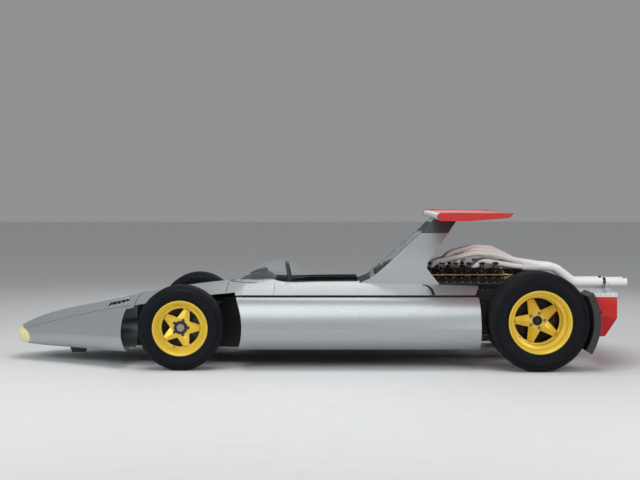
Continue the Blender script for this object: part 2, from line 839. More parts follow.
    @staticmethod
    def rivet(mesh: bmesh.types.BMesh, point: Point | Vector, normal: Point | Vector, radius: float,
              height: float) -> None:
        """Adds a low domed rivet or quarter-turn fastener.

        Args:
            mesh: Mesh that gets the faces.
            point: Where it sits on the surface.
            normal: Direction out of the surface.
            radius: Its radius.
            height: Height of the dome.
        """
        place = Maker.facing(point, normal)
        Maker.lathe(mesh, [(-height * 0.6, radius), (height * 0.35, radius), (height * 0.8, radius * 0.7),
                           (height, 0)], place, 10)

    @staticmethod
    def rivets(mesh: bmesh.types.BMesh, spots: Iterable[Spot | None], radius: float, height: float) -> None:
        """Adds a rivet at each place that was found on a surface.

        Args:
            mesh: Mesh that gets the faces.
            spots: Places, and None for those that were not found.
            radius: Radius of a rivet.
            height: Height of its dome.
        """
        for spot in spots:
            if spot:
                Maker.rivet(mesh, *spot, radius, height)

    @staticmethod
    def facing(point: Point | Vector, normal: Point | Vector) -> Matrix:
        """Place whose local X runs along a normal.

        Args:
            point: Its origin.
            normal: Direction of its X axis.

        Returns:
            The matrix.
        """
        x = Vector(normal).normalized()
        y = x.orthogonal().normalized()
        z = x.cross(y)
        return Matrix.Translation(Vector(point)) @ Matrix((x, y, z)).transposed().to_4x4()


class Shell:
    """Finds places on a CAD node's surface, so that detail sits on it."""

    def __init__(self, *nodes: str) -> None:
        """Gathers the faces of some CAD nodes.

        Args:
            *nodes: Names of the nodes.
        """
        verts: list[Vector] = []
        faces: list[tuple[int, ...]] = []
        for name in nodes:
            data = FRAME["nodes"][name].data
            start = len(verts)
            verts += [v.co.copy() for v in data.vertices]
            faces += [tuple(start + i for i in p.vertices) for p in data.polygons]
        self.tree = BVHTree.FromPolygons(verts, faces)

    def hit(self, start: Point, towards: Point) -> Spot | None:
        """First place that a ray meets.

        Args:
            start: Where the ray starts.
            towards: Its direction.

        Returns:
            The point and the normal that faces the ray, or None where it meets nothing.
        """
        way = Vector(towards).normalized()
        point, normal, _, _ = self.tree.ray_cast(Vector(start), way)
        if point is None:
            return None
        return point, (-normal if normal.dot(way) > 0 else normal)

    def drop(self, x: float, y: float) -> Spot | None:
        """Highest place on the surface at an X and Y.

        Args:
            x: X of the place.
            y: Y of the place.

        Returns:
            The point and its outward normal, or None.
        """
        return self.hit((x, y, 2.0), (0, 0, -1))

    def beside(self, side: Side, x: float, z: float, away: float) -> Spot | None:
        """Place that a level ray from one side of the car meets.

        Args:
            side: Side that the ray comes from.
            x: X of the ray.
            z: Height of the ray.
            away: How far from the car's middle it starts.

        Returns:
            The point and its outward normal, or None.
        """
        return self.hit((x, side.value * away, z), (0, -side.value, 0))

    @staticmethod
    def ribbon(mesh: bmesh.types.BMesh, path: Iterable[Spot | None], width: float, lift: float) -> None:
        """Lays a narrow low strip along places on a surface.

        Args:
            mesh: Mesh that gets the faces.
            path: The places in order, and None for those that were not found.
            width: Width of the strip.
            lift: How far it stands out.
        """
        rows = []
        spots = [spot for spot in path if spot]
        for i, (point, normal) in enumerate(spots):
            before, after = spots[max(i - 1, 0)][0], spots[min(i + 1, len(spots) - 1)][0]
            along = (after - before).normalized()
            across = along.cross(normal).normalized() * width / 2
            low, high = point - normal * lift, point + normal * lift
            rows.append([mesh.verts.new(p) for p in (low - across, high - across * 0.7, high + across * 0.7,
                                                     low + across)])
        Maker.skin(mesh, rows, closed=False)


FRAME: dict = {}


def dress(node: str, finish: Finish | ClearSheet, smooth: float = 30.0) -> None:
    """Gives a CAD node its finish and smooth shading below an angle. Its mesh stays as it is.

    Args:
        node: Name of the node.
        finish: Its finish.
        smooth: Angle in degrees below which edges are shaded smooth.
    """
    made = FRAME["nodes"][node]
    made.data.materials.clear()
    made.data.materials.append(finish.material())
    for polygon in made.data.polygons:
        polygon.use_smooth = True
    made.data.set_sharp_from_angle(angle=math.radians(smooth))


# ------------------------------------------------------------------ wheels


@dataclass
class RoadWheel:
    """One wheel with its tyre, dished star, nut or bolts, valve and brake.

    Attributes:
        end: Front or rear.
        side: Side of the car.
        centre: Middle of the wheel.
        tyre_r: Outer radius of the tyre.
        tyre_w: Width of the tyre.
        rim_r: Radius of the rim's flange.
        rim_w: Width over the flanges.
        dish: Depth of the star's face behind the outer flange.
        star_r: Radius of the windows' outer corners.
        step_r: Inner radius of the barrel beside the star.
        step_out: How far outboard of the star the barrel widens.
        turn: Angle of the first window in degrees, from +X towards +Z.
        valve: Angle of the valve in degrees.
        grooves: Grooves around the tread.
        apex_r: Radius of the windows' inner corners.
        wall: Thickness of the barrel.
        flange_rise: Height of a flange over the tyre's seat.
        arms: Arms of the star.
        steps: Faces around the tyre and the barrel.
    """

    end: End
    side: Side
    centre: Point
    tyre_r: float
    tyre_w: float
    rim_r: float
    rim_w: float
    dish: float
    star_r: float
    step_r: float
    step_out: float
    turn: float
    valve: float
    grooves: int
    apex_r: float = 0.071
    wall: float = 0.009
    flange_rise: float = 0.016
    arms: int = 5
    steps: int = 120

    @property
    def tag(self) -> str:
        """End and side, as the CAD nodes spell them."""
        return f"{self.end.value}_{self.side.word}"

    @property
    def body(self) -> str:
        """CAD body that the wheel turns with."""
        return f"wheel_{self.tag}"

    @property
    def place(self) -> Matrix:
        """Frame of the wheel: local X outboard along the axle, local Z up."""
        sign = self.side.value
        turn = Matrix(((0, -sign, 0), (sign, 0, 0), (0, 0, 1))).to_4x4()
        return Matrix.Translation(Vector(self.centre)) @ turn

    def spot(self, out: float, radius: float, angle: float) -> Vector:
        """Point of the wheel.

        Args:
            out: Distance outboard of the wheel's middle.
            radius: Distance from the axle.
            angle: Angle in degrees, from +X towards +Z.

        Returns:
            The point in the car's frame.
        """
        a = math.radians(angle)
        x, y, z = self.centre
        return Vector((x + radius * math.cos(a), y + self.side.value * out, z + radius * math.sin(a)))

    def build(self) -> None:
        """Builds every piece of the wheel."""
        self.tyre()
        self.rim()
        self.fastening()
        self.brake()

    def tyre(self) -> None:
        """Tyre with moulded rings on its walls and a grooved tread."""
        half, wide, flange = self.rim_w / 2, self.tyre_w / 2, self.rim_r
        seat, tread = flange - self.flange_rise, self.tyre_r
        middle = (flange + tread) / 2
        wall_points = [
            (half - 0.002, flange + 0.0005), (wide - 0.004, flange + (middle - flange) * 0.42),
            (wide - 0.0006, middle), (wide - 0.0035, (middle + tread - 0.022) / 2),
            (wide - 0.016, tread - 0.022), (wide - 0.0275, tread - 0.0075), (wide - 0.044, tread - 0.0006),
        ]
        wall = [(p.x, p.y) for p in Maker.curve([(u, r, 0.0) for u, r in wall_points], 7)]
        wall = self._rings(wall, [flange + 0.012, flange + 0.019, middle + 0.016, tread - 0.034])
        outer = [(half - 0.010, seat), (half - 0.010, flange), *wall]
        inner = [(-u, r) for u, r in reversed(outer)]
        crown, width, deep = wide - 0.044, 0.0065, 0.0065
        ribs: list[tuple[float, float]] = []
        for i in range(self.grooves):
            middle_u = crown - 2 * crown * (i + 1) / (self.grooves + 1)
            for du, depth in ((width / 2, 0.0006), (width / 2 - 0.001, deep), (-width / 2 + 0.001, deep),
                              (-width / 2, 0.0006)):
                ribs.append((middle_u + du, tread - depth))
        mesh = bmesh.new()
        faces = Maker.lathe(mesh, [*outer, *ribs, *inner], self.place, self.steps, closed=True)
        inward = self.place.inverted()
        for vert in mesh.verts:  # the tread's grooves step from side to side every second face
            local = inward @ vert.co
            radius = math.hypot(local.y, local.z)
            if abs(local.x) < crown - 0.012 and radius > tread - 0.012:
                step = round(math.atan2(local.z, local.y) / math.tau * self.steps) % 4
                local.x += 0.0028 * (-1 if step in (0, 1) else 1)
                vert.co = self.place @ local
        for face in faces:
            local = inward @ face.calc_center_median()
            if math.hypot(local.y, local.z) > tread - 0.016:
                face.material_index = 1
        made = Maker.piece(f"tyre_{self.tag}_dressed", mesh, TYRE, self.body, 28)
        made.data.materials.append(TREAD.material())
        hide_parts(f"tyre_{self.tag}")

    @staticmethod
    def _rings(wall: list[tuple[float, float]], radii: Sequence[float]) -> list[tuple[float, float]]:
        """Adds low moulded rings to a tyre's wall.

        Args:
            wall: Profile as (outboard, radius), with rising radius.
            radii: Radii of the rings.

        Returns:
            The profile with the rings in it.
        """
        made = []
        for (u0, r0), (u1, r1) in zip(wall, wall[1:]):
            made.append((u0, r0))
            for ring in radii:
                if r0 <= ring < r1:
                    share = (ring - r0) / (r1 - r0)
                    u = u0 + share * (u1 - u0)
                    made += [(u, ring - 0.0011), (u - 0.0012, ring - 0.0004), (u - 0.0012, ring + 0.0004),
                             (u, ring + 0.0011)]
        made.append(wall[-1])
        made.sort(key=lambda p: p[1])
        return made

    def rim(self) -> None:
        """Spun barrel with rolled flanges, and the cast star with a ridge down each arm."""
        half, flange = self.rim_w / 2, self.rim_r
        seat, face = flange - self.flange_rise, self.rim_w / 2 - self.dish
        inner = seat - self.wall
        mesh = bmesh.new()
        step, out = self.step_r, face + self.step_out
        barrel = [
            (-half, flange - 0.002), (-half + 0.002, flange), (-half + 0.009, flange),
            (-half + 0.010, flange - 0.002), (-half + 0.010, seat), (half - 0.010, seat),
            (half - 0.010, flange - 0.002), (half - 0.009, flange), (half - 0.002, flange),
            (half, flange - 0.002), (half, flange - 0.007), (half - 0.003, flange - 0.010),
            (half - 0.016, inner + 0.004), (half - 0.022, inner), (out + 0.016, inner),
            (out + 0.012, inner - 0.002), (out + 0.002, step + 0.002), (out - 0.003, step),
            (face + 0.004, step), (face - 0.026, step), (face - 0.034, inner), (-half + 0.022, inner),
            (-half + 0.003, flange - 0.010), (-half, flange - 0.007),
        ]
        Maker.lathe(mesh, barrel, self.place, self.steps, closed=True)
        self._star(mesh, face, step + 0.001)
        hub_in, hub_r, bore = (-0.035, 0.050, 0.0203) if self.end is End.FRONT else (-0.096, 0.060, 0.0182)
        Maker.lathe(mesh, [(face - 0.020, 0.073), (face - 0.030, hub_r), (hub_in, hub_r), (hub_in, bore),
                           (face - 0.002, bore)], self.place, 48)
        made = Maker.piece(f"rim_{self.tag}_dressed", mesh, YELLOW, self.body, 17)
        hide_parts(f"rim_{self.tag}")

    def _star(self, mesh: bmesh.types.BMesh, face: float, ring_r: float) -> None:
        """Adds the star: ridged arms that meet round the hub and end in a ring inside the barrel.

        Args:
            mesh: Mesh that gets the faces.
            face: Distance of the star's face outboard of the wheel's middle.
            ring_r: Radius where the ring meets the barrel.
        """
        half_pitch, tip = math.radians(180 / self.arms), math.radians(8.5)
        hub_r, flat_r = (0.030, 0.058) if self.end is End.REAR else (0.026, 0.060)
        chord = self.apex_r * math.cos(half_pitch)
        bottom, top = face - 0.024, face + 0.004
        parts = (-1, -0.5, 0, 0.5, 1)
        for arm in range(self.arms):
            middle = math.radians(self.turn + 180 / self.arms + 360 / self.arms * arm)
            grid = []
            for radius, share, rise in ((hub_r, 0.0, 0.0), (flat_r, 0.0, 0.0), (0.0, 1.0, 0.006)):
                line = []  # the flat round the hub, out to the valley between two windows
                for part in parts:
                    angle = half_pitch * part
                    reach = radius * (1 - share) + share * chord / math.cos(angle)
                    height = top + rise * (1 - 2.2 * abs(part))
                    line.append(mesh.verts.new(self.spot(height, reach, math.degrees(middle + angle))))
                grid.append(line)
            for share in (0.25, 0.5, 0.75, 1.0):  # the arm, between straight edges
                ridge_r = chord + (self.star_r * math.cos(tip) - chord) * share
                start, end = self.apex_r * math.sin(half_pitch), self.star_r * math.sin(tip)
                edge = start + (end - start) * share
                ridge, low = 0.011 - 0.006 * share, -0.0110 + 0.006 * share
                line = []
                for part in parts:
                    height = top + low + (ridge - low) * (1 - abs(part))
                    across = edge * part
                    reach, angle = math.hypot(ridge_r, across), math.atan2(across, ridge_r)
                    line.append(mesh.verts.new(self.spot(height, reach, math.degrees(middle + angle))))
                grid.append(line)
            Maker.skin(mesh, grid, closed=False)
            for k in (0, 4):  # walls of the windows
                tops = [line[k] for line in grid[2:]]
                feet = []
                for vert in tops:
                    foot = vert.co.copy()
                    foot.y = self.centre[1] + self.side.value * bottom
                    feet.append(mesh.verts.new(foot))
                Maker.skin(mesh, [tops, feet], closed=False)
        # ring outside the windows, joined to the arms' tips
        fine = 8
        count = self.arms * fine * 2
        rings = []
        for radius, height in ((self.star_r - 0.0005, bottom), (self.star_r - 0.0005, face - 0.003),
                               (self.star_r + 0.004, face + 0.0015), (ring_r - 0.004, face + 0.003),
                               (ring_r, face + 0.008)):
            rings.append([mesh.verts.new(self.spot(height, radius, self.turn + 360 * i / count))
                          for i in range(count)])
        Maker.skin(mesh, rings)

    def fastening(self) -> None:
        """Drive pins or studs around the centre, its nut, and the valve."""
        face = self.rim_w / 2 - self.dish
        out = Vector((0, self.side.value, 0))
        dark, bright = bmesh.new(), bmesh.new()
        pins = 0.053 if self.end is End.FRONT else 0.051
        for i in range(5):
            angle = self.turn + 36 + 72 * i + (0 if self.end is End.FRONT else 36)
            base = self.spot(face + 0.003, pins, angle)
            place = Maker.facing(base, out)
            if self.end is End.FRONT:
                Maker.lathe(dark, [(-0.004, 0.0095), (0.004, 0.0095), (0.0075, 0.0085), (0.0075, 0.005),
                                   (0.003, 0.0045), (0.003, 0)], place, 20)
            else:
                Maker.lathe(dark, [(0, 0.0105), (0.0035, 0.0105), (0.0035, 0.0)], place, 20)
                Maker.lathe(bright,
                            [(0.0035, 0), (0.0035, 0.0078), (0.011, 0.0078), (0.0125, 0.0066), (0.0125, 0)],
                            place, 6)
                Maker.lathe(bright,
                            [(0.0125, 0), (0.0125, 0.0042), (0.018, 0.0042), (0.019, 0.0032), (0.019, 0)],
                            place, 12)
        centre = Maker.facing(self.spot(face, 0, 0), out)
        if self.end is End.FRONT:
            Maker.lathe(dark, [(0.004, 0.046), (0.010, 0.044), (0.010, 0.030), (0.006, 0.024)], centre, 40)
            Maker.lathe(bright, [(0.004, 0.0285), (0.0165, 0.0285), (0.0195, 0.026), (0.0195, 0.0165),
                                 (0.012, 0.014), (0.012, 0)], centre, 6)
            Maker.lathe(bright, [(0.012, 0), (0.012, 0.0095), (0.0235, 0.0095), (0.025, 0.0075), (0.025, 0)],
                        centre, 20)
            for i in range(5):  # slots of the locking ring
                angle = self.turn + 72 * i
                spot = self.spot(face + 0.0125, 0.036, angle)
                Maker.slab(dark, Maker.turned(spot, -math.radians(angle), "Y"), (0.013, 0.006, 0.010), 0.0015)
        else:
            Maker.lathe(dark,
                        [(0.0095, 0.0325), (0.012, 0.031), (0.012, 0.0275), (-0.012, 0.0265), (-0.014, 0)],
                        centre, 40)
            Maker.lathe(dark, [(-0.014, 0), (-0.014, 0.013), (-0.002, 0.013), (0.0, 0.011), (0.0, 0)],
                        centre, 6)
        stem = self.spot(face + 0.012, self.rim_r - 0.052, self.valve)
        inward = (self.spot(face, 0, 0) - stem).normalized()
        lean = (out + inward * 0.25).normalized()
        Maker.tube(dark, [stem - lean * 0.014, stem + lean * 0.010, stem + lean * 0.022],
                   [0.0045, 0.0045, 0.0032], 12)
        Maker.lathe(bright, [(0.022, 0.0038), (0.030, 0.0038), (0.031, 0.0028), (0.031, 0)],
                    Maker.facing(stem, lean), 12)
        Maker.piece(f"wheel_dark_{self.tag}", dark, DARK_STEEL, self.body)
        Maker.piece(f"wheel_bright_{self.tag}", bright, STEEL, self.body)

    def brake(self) -> None:
        """Brake disc with a grooved edge on the hub, and its shield and caliper on the upright."""
        out = -0.022 if self.end is End.FRONT else -0.090
        mesh = bmesh.new()
        Maker.lathe(mesh, [(out, 0.062), (out, 0.134), (out + 0.0065, 0.134), (out + 0.0065, 0.130),
                           (out + 0.0115, 0.130), (out + 0.0115, 0.134), (out + 0.018, 0.134),
                           (out + 0.018, 0.062)], self.place, 80, closed=True)
        Maker.lathe(mesh, Maker.band(out + 0.001, out + 0.017, 0.050, 0.064), self.place, 48, closed=True)
        Maker.piece(f"brake_disc_{self.tag}", mesh, IRON, self.body)
        caliper, shield = bmesh.new(), bmesh.new()
        holder = f"knuckle_{self.side.word}" if self.end is End.FRONT else "chassis"
        reach = self.rim_r - self.flange_rise - self.wall - 0.008
        Maker.lathe(shield, [(out - 0.0285, 0.052), (out - 0.0285, reach - 0.012), (out - 0.018, reach),
                             (out - 0.020, reach), (out - 0.031, reach - 0.010), (out - 0.031, 0.052)],
                    self.place, 72, closed=True)
        Maker.piece(f"brake_shield_{self.tag}", shield, TUB_BLACK, holder)
        middle, half = out + 0.009, (0.056, 0.018, 0.030)
        for away, radius, size, bevel in ((-0.021, 0.106, half, 0.004), (0.021, 0.106, half, 0.004),
                                          (0.0, 0.141, (0.009, 0.056, 0.031), 0.003)):
            for angle in range(-26, 27, 13):  # both halves of the caliper, and the bridge over the disc
                place = Maker.turned(self.spot(middle + away, radius, angle), -math.radians(angle), "Y")
                Maker.slab(caliper, place, size, bevel)
        for angle in (-16, 16):
            Maker.lathe(caliper, [(0, 0.017), (0.002, 0.017), (0.003, 0.014), (0.003, 0)],
                        Maker.facing(self.spot(middle + 0.030, 0.100, angle), (0, self.side.value, 0)), 24)
        Maker.piece(f"brake_caliper_{self.tag}", caliper, DARK_STEEL, holder)


# ------------------------------------------------------------------ bodywork


@dataclass
class Bodywork:
    """Seams, fasteners, trim and vents of the body panels.

    Attributes:
        crease: Points (X, Y) of the crease along the nose, from its tip to the wheel bay.
        nose_joint: X of the joint between nose and front deck.
        deck_joint: X of the joint between front deck and cockpit deck.
        vents: First and last X, and inner and outer Y, of the outlets in the nose.
        engine_slot: Points (X, Z) of the curved slot in the deck's side.
    """

    crease: Sequence[tuple[float, float]] = ((-2.105, 0.172), (-1.961, 0.216), (-1.712, 0.301),
                                             (-1.509, 0.391), (-1.315, 0.474))
    nose_joint: float = -1.300
    deck_joint: float = -0.660
    vents: tuple[float, float, float, float] = (-1.510, -1.360, 0.150, 0.330)
    engine_slot: Sequence[tuple[float, float]] = ((0.706, 0.546), (0.735, 0.541), (0.757, 0.524),
                                                  (0.764, 0.500), (0.762, 0.491))

    def build(self) -> None:
        """Builds every piece of the trim."""
        self.seams()
        self.vent_frames()
        self.slots()
        self.fasteners()
        self.underside()
        self.radiator()

    def seams(self) -> None:
        """Dark lines along the creases and between the panels."""
        mesh = bmesh.new()
        nose, front, deck = Shell("nose_shell"), Shell("front_deck"), Shell("cockpit_deck")
        for side in Side:
            path = [nose.drop(x0 + (x1 - x0) * i / 12, side.value * (y0 + (y1 - y0) * i / 12))
                    for (x0, y0), (x1, y1) in zip(self.crease, self.crease[1:]) for i in range(12)]
            nose.ribbon(mesh, path, 0.0085, 0.0010)
        for shell, x, half in ((nose, self.nose_joint - 0.0025, 0.474),
                               (front, self.deck_joint - 0.0025, 0.612)):
            shell.ribbon(mesh, [shell.drop(x, half * (i / 40 - 1)) for i in range(81)], 0.0045, 0.0008)
        for side in Side:
            path = [deck.drop(-0.330, side.value * (0.330 + (0.632 - 0.330) * i / 30)) for i in range(31)]
            deck.ribbon(mesh, path, 0.003, 0.0006)
        Maker.piece("panel_seams", mesh, SEAL_BLACK, "chassis")

    def vent_frames(self) -> None:
        """Thin turned lips around the outlets in the nose, each with four vanes."""
        lips, vanes = bmesh.new(), bmesh.new()
        nose = Shell("nose_shell")
        x0, x1, y0, y1 = self.vents
        corner = 0.030
        for side in Side:
            path = []
            for cx, cy, first in ((x1 - corner, y1 - corner, 0), (x0 + corner, y1 - corner, 90),
                                  (x0 + corner, y0 + corner, 180), (x1 - corner, y0 + corner, 270)):
                for step in range(7):
                    a = math.radians(first + 15 * step)
                    grow = corner + 0.004
                    found = nose.drop(cx + grow * math.cos(a), side.value * (cy + grow * math.sin(a)))
                    if found:
                        path.append(found)
            path.append(path[0])
            nose.ribbon(lips, path, 0.009, 0.0022)
            for i in range(4):
                x = x0 + 0.026 + 0.033 * i
                ends = [nose.drop(x0 - 0.012, side.value * y) for y in (y0 + 0.012, y1 - 0.012)]
                low, high = ends[0][0], ends[1][0]
                rise = (nose.drop(x1 + 0.012, side.value * y0)[0].z - low.z) / (x1 - x0 + 0.024)
                z = low.z + rise * (x - x0 + 0.012) - 0.022
                lean = math.atan2(high.z - low.z, side.value * (y1 - y0))
                if side is Side.LEFT:
                    lean += math.pi
                place = Maker.turned((x, side.value * (y0 + y1) / 2, z + (high.z - low.z) / 2), lean, "X")
                place = place @ Matrix.Rotation(math.radians(38), 4, "Y")
                Maker.slab(vanes, place, (0.034, y1 - y0 - 0.004, 0.002), 0.0005)
        Maker.piece("vent_lips", lips, SILVER, "chassis")
        Maker.piece("vent_vanes", vanes, TUB_BLACK, "chassis")

    def slots(self) -> None:
        """Curved cooling slot in each side of the deck, beside the engine."""
        mesh = bmesh.new()
        deck = Shell("cockpit_deck", "rear_deck_left", "rear_deck_right")
        run = Maker.curve([(x, 0.0, z) for x, z in self.engine_slot], 6)
        for side in Side:
            deck.ribbon(mesh, [deck.beside(side, point.x, point.z, 1.2) for point in run], 0.026, 0.0016)
        Maker.piece("deck_slots", mesh, SEAL_BLACK, "chassis")

    def fasteners(self) -> None:
        """Quarter-turn fasteners and rivets along the edges of the panels."""
        turns, rivets = bmesh.new(), bmesh.new()
        nose, front = Shell("nose_shell"), Shell("front_deck")
        pontoons = Shell("pontoon_left", "pontoon_right")
        for side in Side:
            sign = side.value
            for shell, x in ((nose, self.nose_joint - 0.022), (front, self.nose_joint + 0.020)):
                Maker.rivets(turns, [shell.drop(x, sign * 0.40 * (k + 0.5) / 4) for k in range(4)],
                             *QUARTER_TURN)
            row = [front.drop(self.deck_joint - 0.022, sign * (0.16 + 0.18 * k)) for k in range(3)]
            Maker.rivets(turns, row, *QUARTER_TURN)
            row = [pontoons.beside(side, -0.600 + 0.050 * k, 0.440, 1.4) for k in range(34)]
            row += [pontoons.hit((-0.620 + 0.056 * k, sign * 0.72, -0.2), UPWARD) for k in range(30)]
            row += [nose.beside(side, -2.05 + 0.09 * k, 0.150, 1.4) for k in range(9)]
            Maker.rivets(rivets, row, *PANEL_RIVET)
        Maker.piece("quarter_turns", turns, STEEL, "chassis", 50)
        Maker.piece("panel_rivets", rivets, STEEL, "chassis", 50)

    def underside(self) -> None:
        """Rivet rows and panel joints on the tub's flat floor."""
        rivets, joints = bmesh.new(), bmesh.new()
        tub = Shell("tub")
        edge, pitch, flat = 0.395, 0.046, -0.9  # the last is how far down a normal on the floor points

        def below(x: float, y: float) -> Spot | None:
            """Place on the floor's lower face, or None beside it."""
            found = tub.hit((x, y, -0.5), UPWARD)
            return found if found and found[1].z < flat else None

        for x in (-1.262, -0.640, -0.018, 0.585):
            Maker.rivets(rivets, [below(x, -edge + pitch * k) for k in range(18)], *FLOOR_RIVET)
        for x in (-0.662, -0.040):
            tub.ribbon(joints, [below(x, -edge + 0.079 * k) for k in range(11)], 0.005, 0.0007)
        for side in Side:
            Maker.rivets(rivets, [below(-1.262 + pitch * k, side.value * edge) for k in range(40)],
                         *FLOOR_RIVET)
        Maker.piece("floor_rivets", rivets, STEEL, "chassis", 50)
        Maker.piece("floor_joints", joints, SEAL_BLACK, "chassis", 50)

    def radiator(self) -> None:
        """Fins and header tanks of the radiator behind the intake."""
        low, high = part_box("radiator")
        fins, tanks = bmesh.new(), bmesh.new()
        lean, width, height = math.radians(24), high[1] - low[1], high[2] - low[2] - 0.006
        for k in range(39):
            spot = (low[0] + 0.034, low[1] + 0.012 + (width - 0.024) * k / 38, low[2] + 0.060)
            Maker.slab(fins, Maker.turned(spot, lean, "Y"), (0.006, 0.0022, height * 0.70))
        core = Maker.turned((low[0] + 0.036, 0, low[2] + 0.060), lean, "Y")
        for k in range(9):
            place = core @ Matrix.Translation((0, 0, -0.046 + 0.0115 * k))
            Maker.slab(fins, place, (0.004, width - 0.020, 0.0022))
        for way in (-1, 1):
            spot = (low[0] + 0.036, way * (width / 2 - 0.010), low[2] + 0.060)
            Maker.slab(tanks, Maker.turned(spot, lean, "Y"), (0.020, 0.018, height * 0.72), 0.004)
        Maker.piece("radiator_fins", fins, ALLOY, "chassis")
        Maker.piece("radiator_tanks", tanks, TUB_BLACK, "chassis")


# ------------------------------------------------------------------ cockpit


@dataclass
class Upholstery:
    """A crowned cushion with sewn channels, swollen like a filled cover.

    Attributes:
        name: Name of the piece.
        place: Its frame: local X along its length, local Z out of its face, origin under its middle.
        length: Length along local X.
        width: Width along local Y.
        thickness: Height over its back face.
        channels: Places of its sewn lines along local X, from -1 to 1.
        fill: How tightly it is filled, from 0 to 1.
        swell: How far a point may move as it fills.
        cells: Faces along each side before it is filled.
    """

    name: str
    place: Matrix
    length: float
    width: float
    thickness: float
    channels: Sequence[float]
    fill: float = 0.7
    swell: float = 0.007
    cells: int = 26

    def build(self, finish: Finish, body: str, *nodes: str) -> bpy.types.Object:
        """Makes the cushion.

        Args:
            finish: Its cover.
            body: CAD body that carries it.
            *nodes: CAD nodes that it stands for.

        Returns:
            The cushion.
        """
        mesh = bmesh.new()
        count = self.cells
        tops, backs = [], []
        for i in range(count + 1):
            top_row, back_row = [], []
            for j in range(count + 1):
                u, v = 2 * i / count - 1, 2 * j / count - 1
                x = self.length / 2 * u * (1 - 0.03 * (1 - v * v)) * 0.97
                y = self.width / 2 * v * (1 - 0.03 * (1 - u * u)) * 0.97
                full = ((1 - abs(u) ** 8) * (1 - abs(v) ** 8)) ** 0.4
                crown = 0.82 + 0.14 * (1 - u * u) * (1 - v * v)
                level = 0.34 * self.thickness
                top_row.append(mesh.verts.new((x, y, level + (crown * self.thickness - level) * full)))
                edge = i in (0, count) or j in (0, count)
                back_row.append(top_row[-1] if edge else mesh.verts.new((x, y, level - level * full)))
            tops.append(top_row)
            backs.append(back_row)
        for rows in (tops, backs):
            for i in range(count):
                for j in range(count):
                    mesh.faces.new((rows[i][j], rows[i + 1][j], rows[i + 1][j + 1], rows[i][j + 1]))
        bmesh.ops.recalc_face_normals(mesh, faces=mesh.faces)
        made = Maker.placed(self.name, mesh)
        self._swell(made)
        self._sew(made)
        made.data.transform(self.place)
        made.data.materials.append(finish.material())
        for polygon in made.data.polygons:
            polygon.use_smooth = True
        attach(made, body)
        if nodes:
            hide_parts(*nodes)
        LOG.info("%s: %d faces", self.name, len(made.data.polygons))
        return made

    def _swell(self, made: bpy.types.Object) -> None:
        """Fills the cover with a short cloth simulation, and keeps each point within the swell.

        Args:
            made: The cushion, at the origin.
        """
        remesh = made.modifiers.new("remesh", "REMESH")
        remesh.mode, remesh.voxel_size = "VOXEL", 0.006
        self._apply(made)
        before = [v.co.copy() for v in made.data.vertices]
        cloth = made.modifiers.new("cloth", "CLOTH")
        cloth.settings.use_pressure = True
        cloth.settings.uniform_pressure_force = 4.0
        cloth.settings.effector_weights.gravity = 0.0
        cloth.settings.quality = 5
        scene = bpy.context.scene
        for frame_number in range(1, 21):
            scene.frame_set(frame_number)
        self._apply(made)
        scene.frame_set(1)
        for vert, old in zip(made.data.vertices, before):
            moved = vert.co - old
            if moved.length > self.swell:
                vert.co = old + moved.normalized() * self.swell
            if vert.co.z < 0.0:
                vert.co.z = 0.0
        smooth = made.modifiers.new("smooth", "SUBSURF")
        smooth.levels = smooth.render_levels = 1
        self._apply(made)

    @staticmethod
    def _apply(made: bpy.types.Object) -> None:
        """Turns a piece's modifiers into its mesh.

        Args:
            made: The piece.
        """
        shape = made.evaluated_get(bpy.context.evaluated_depsgraph_get())
        data = bpy.data.meshes.new_from_object(shape)
        made.modifiers.clear()
        made.data = data

    def _sew(self, made: bpy.types.Object) -> None:
        """Draws the face in along its sewn lines and round its piped edge.

        Args:
            made: The cushion, at the origin.
        """
        inset = 0.018
        for vert in made.data.vertices:
            x, y, z = vert.co
            if z < 0.42 * self.thickness:
                continue
            depth = 0.0
            for channel in self.channels:
                depth += 0.0075 * math.exp(-(((x - channel * self.length / 2) / 0.0065) ** 2))
            from_edge = min(self.length / 2 - abs(x), self.width / 2 - abs(y))
            depth += 0.004 * math.exp(-(((from_edge - inset) / 0.004) ** 2))
            vert.co.z = z - min(depth, z - 0.4 * self.thickness)


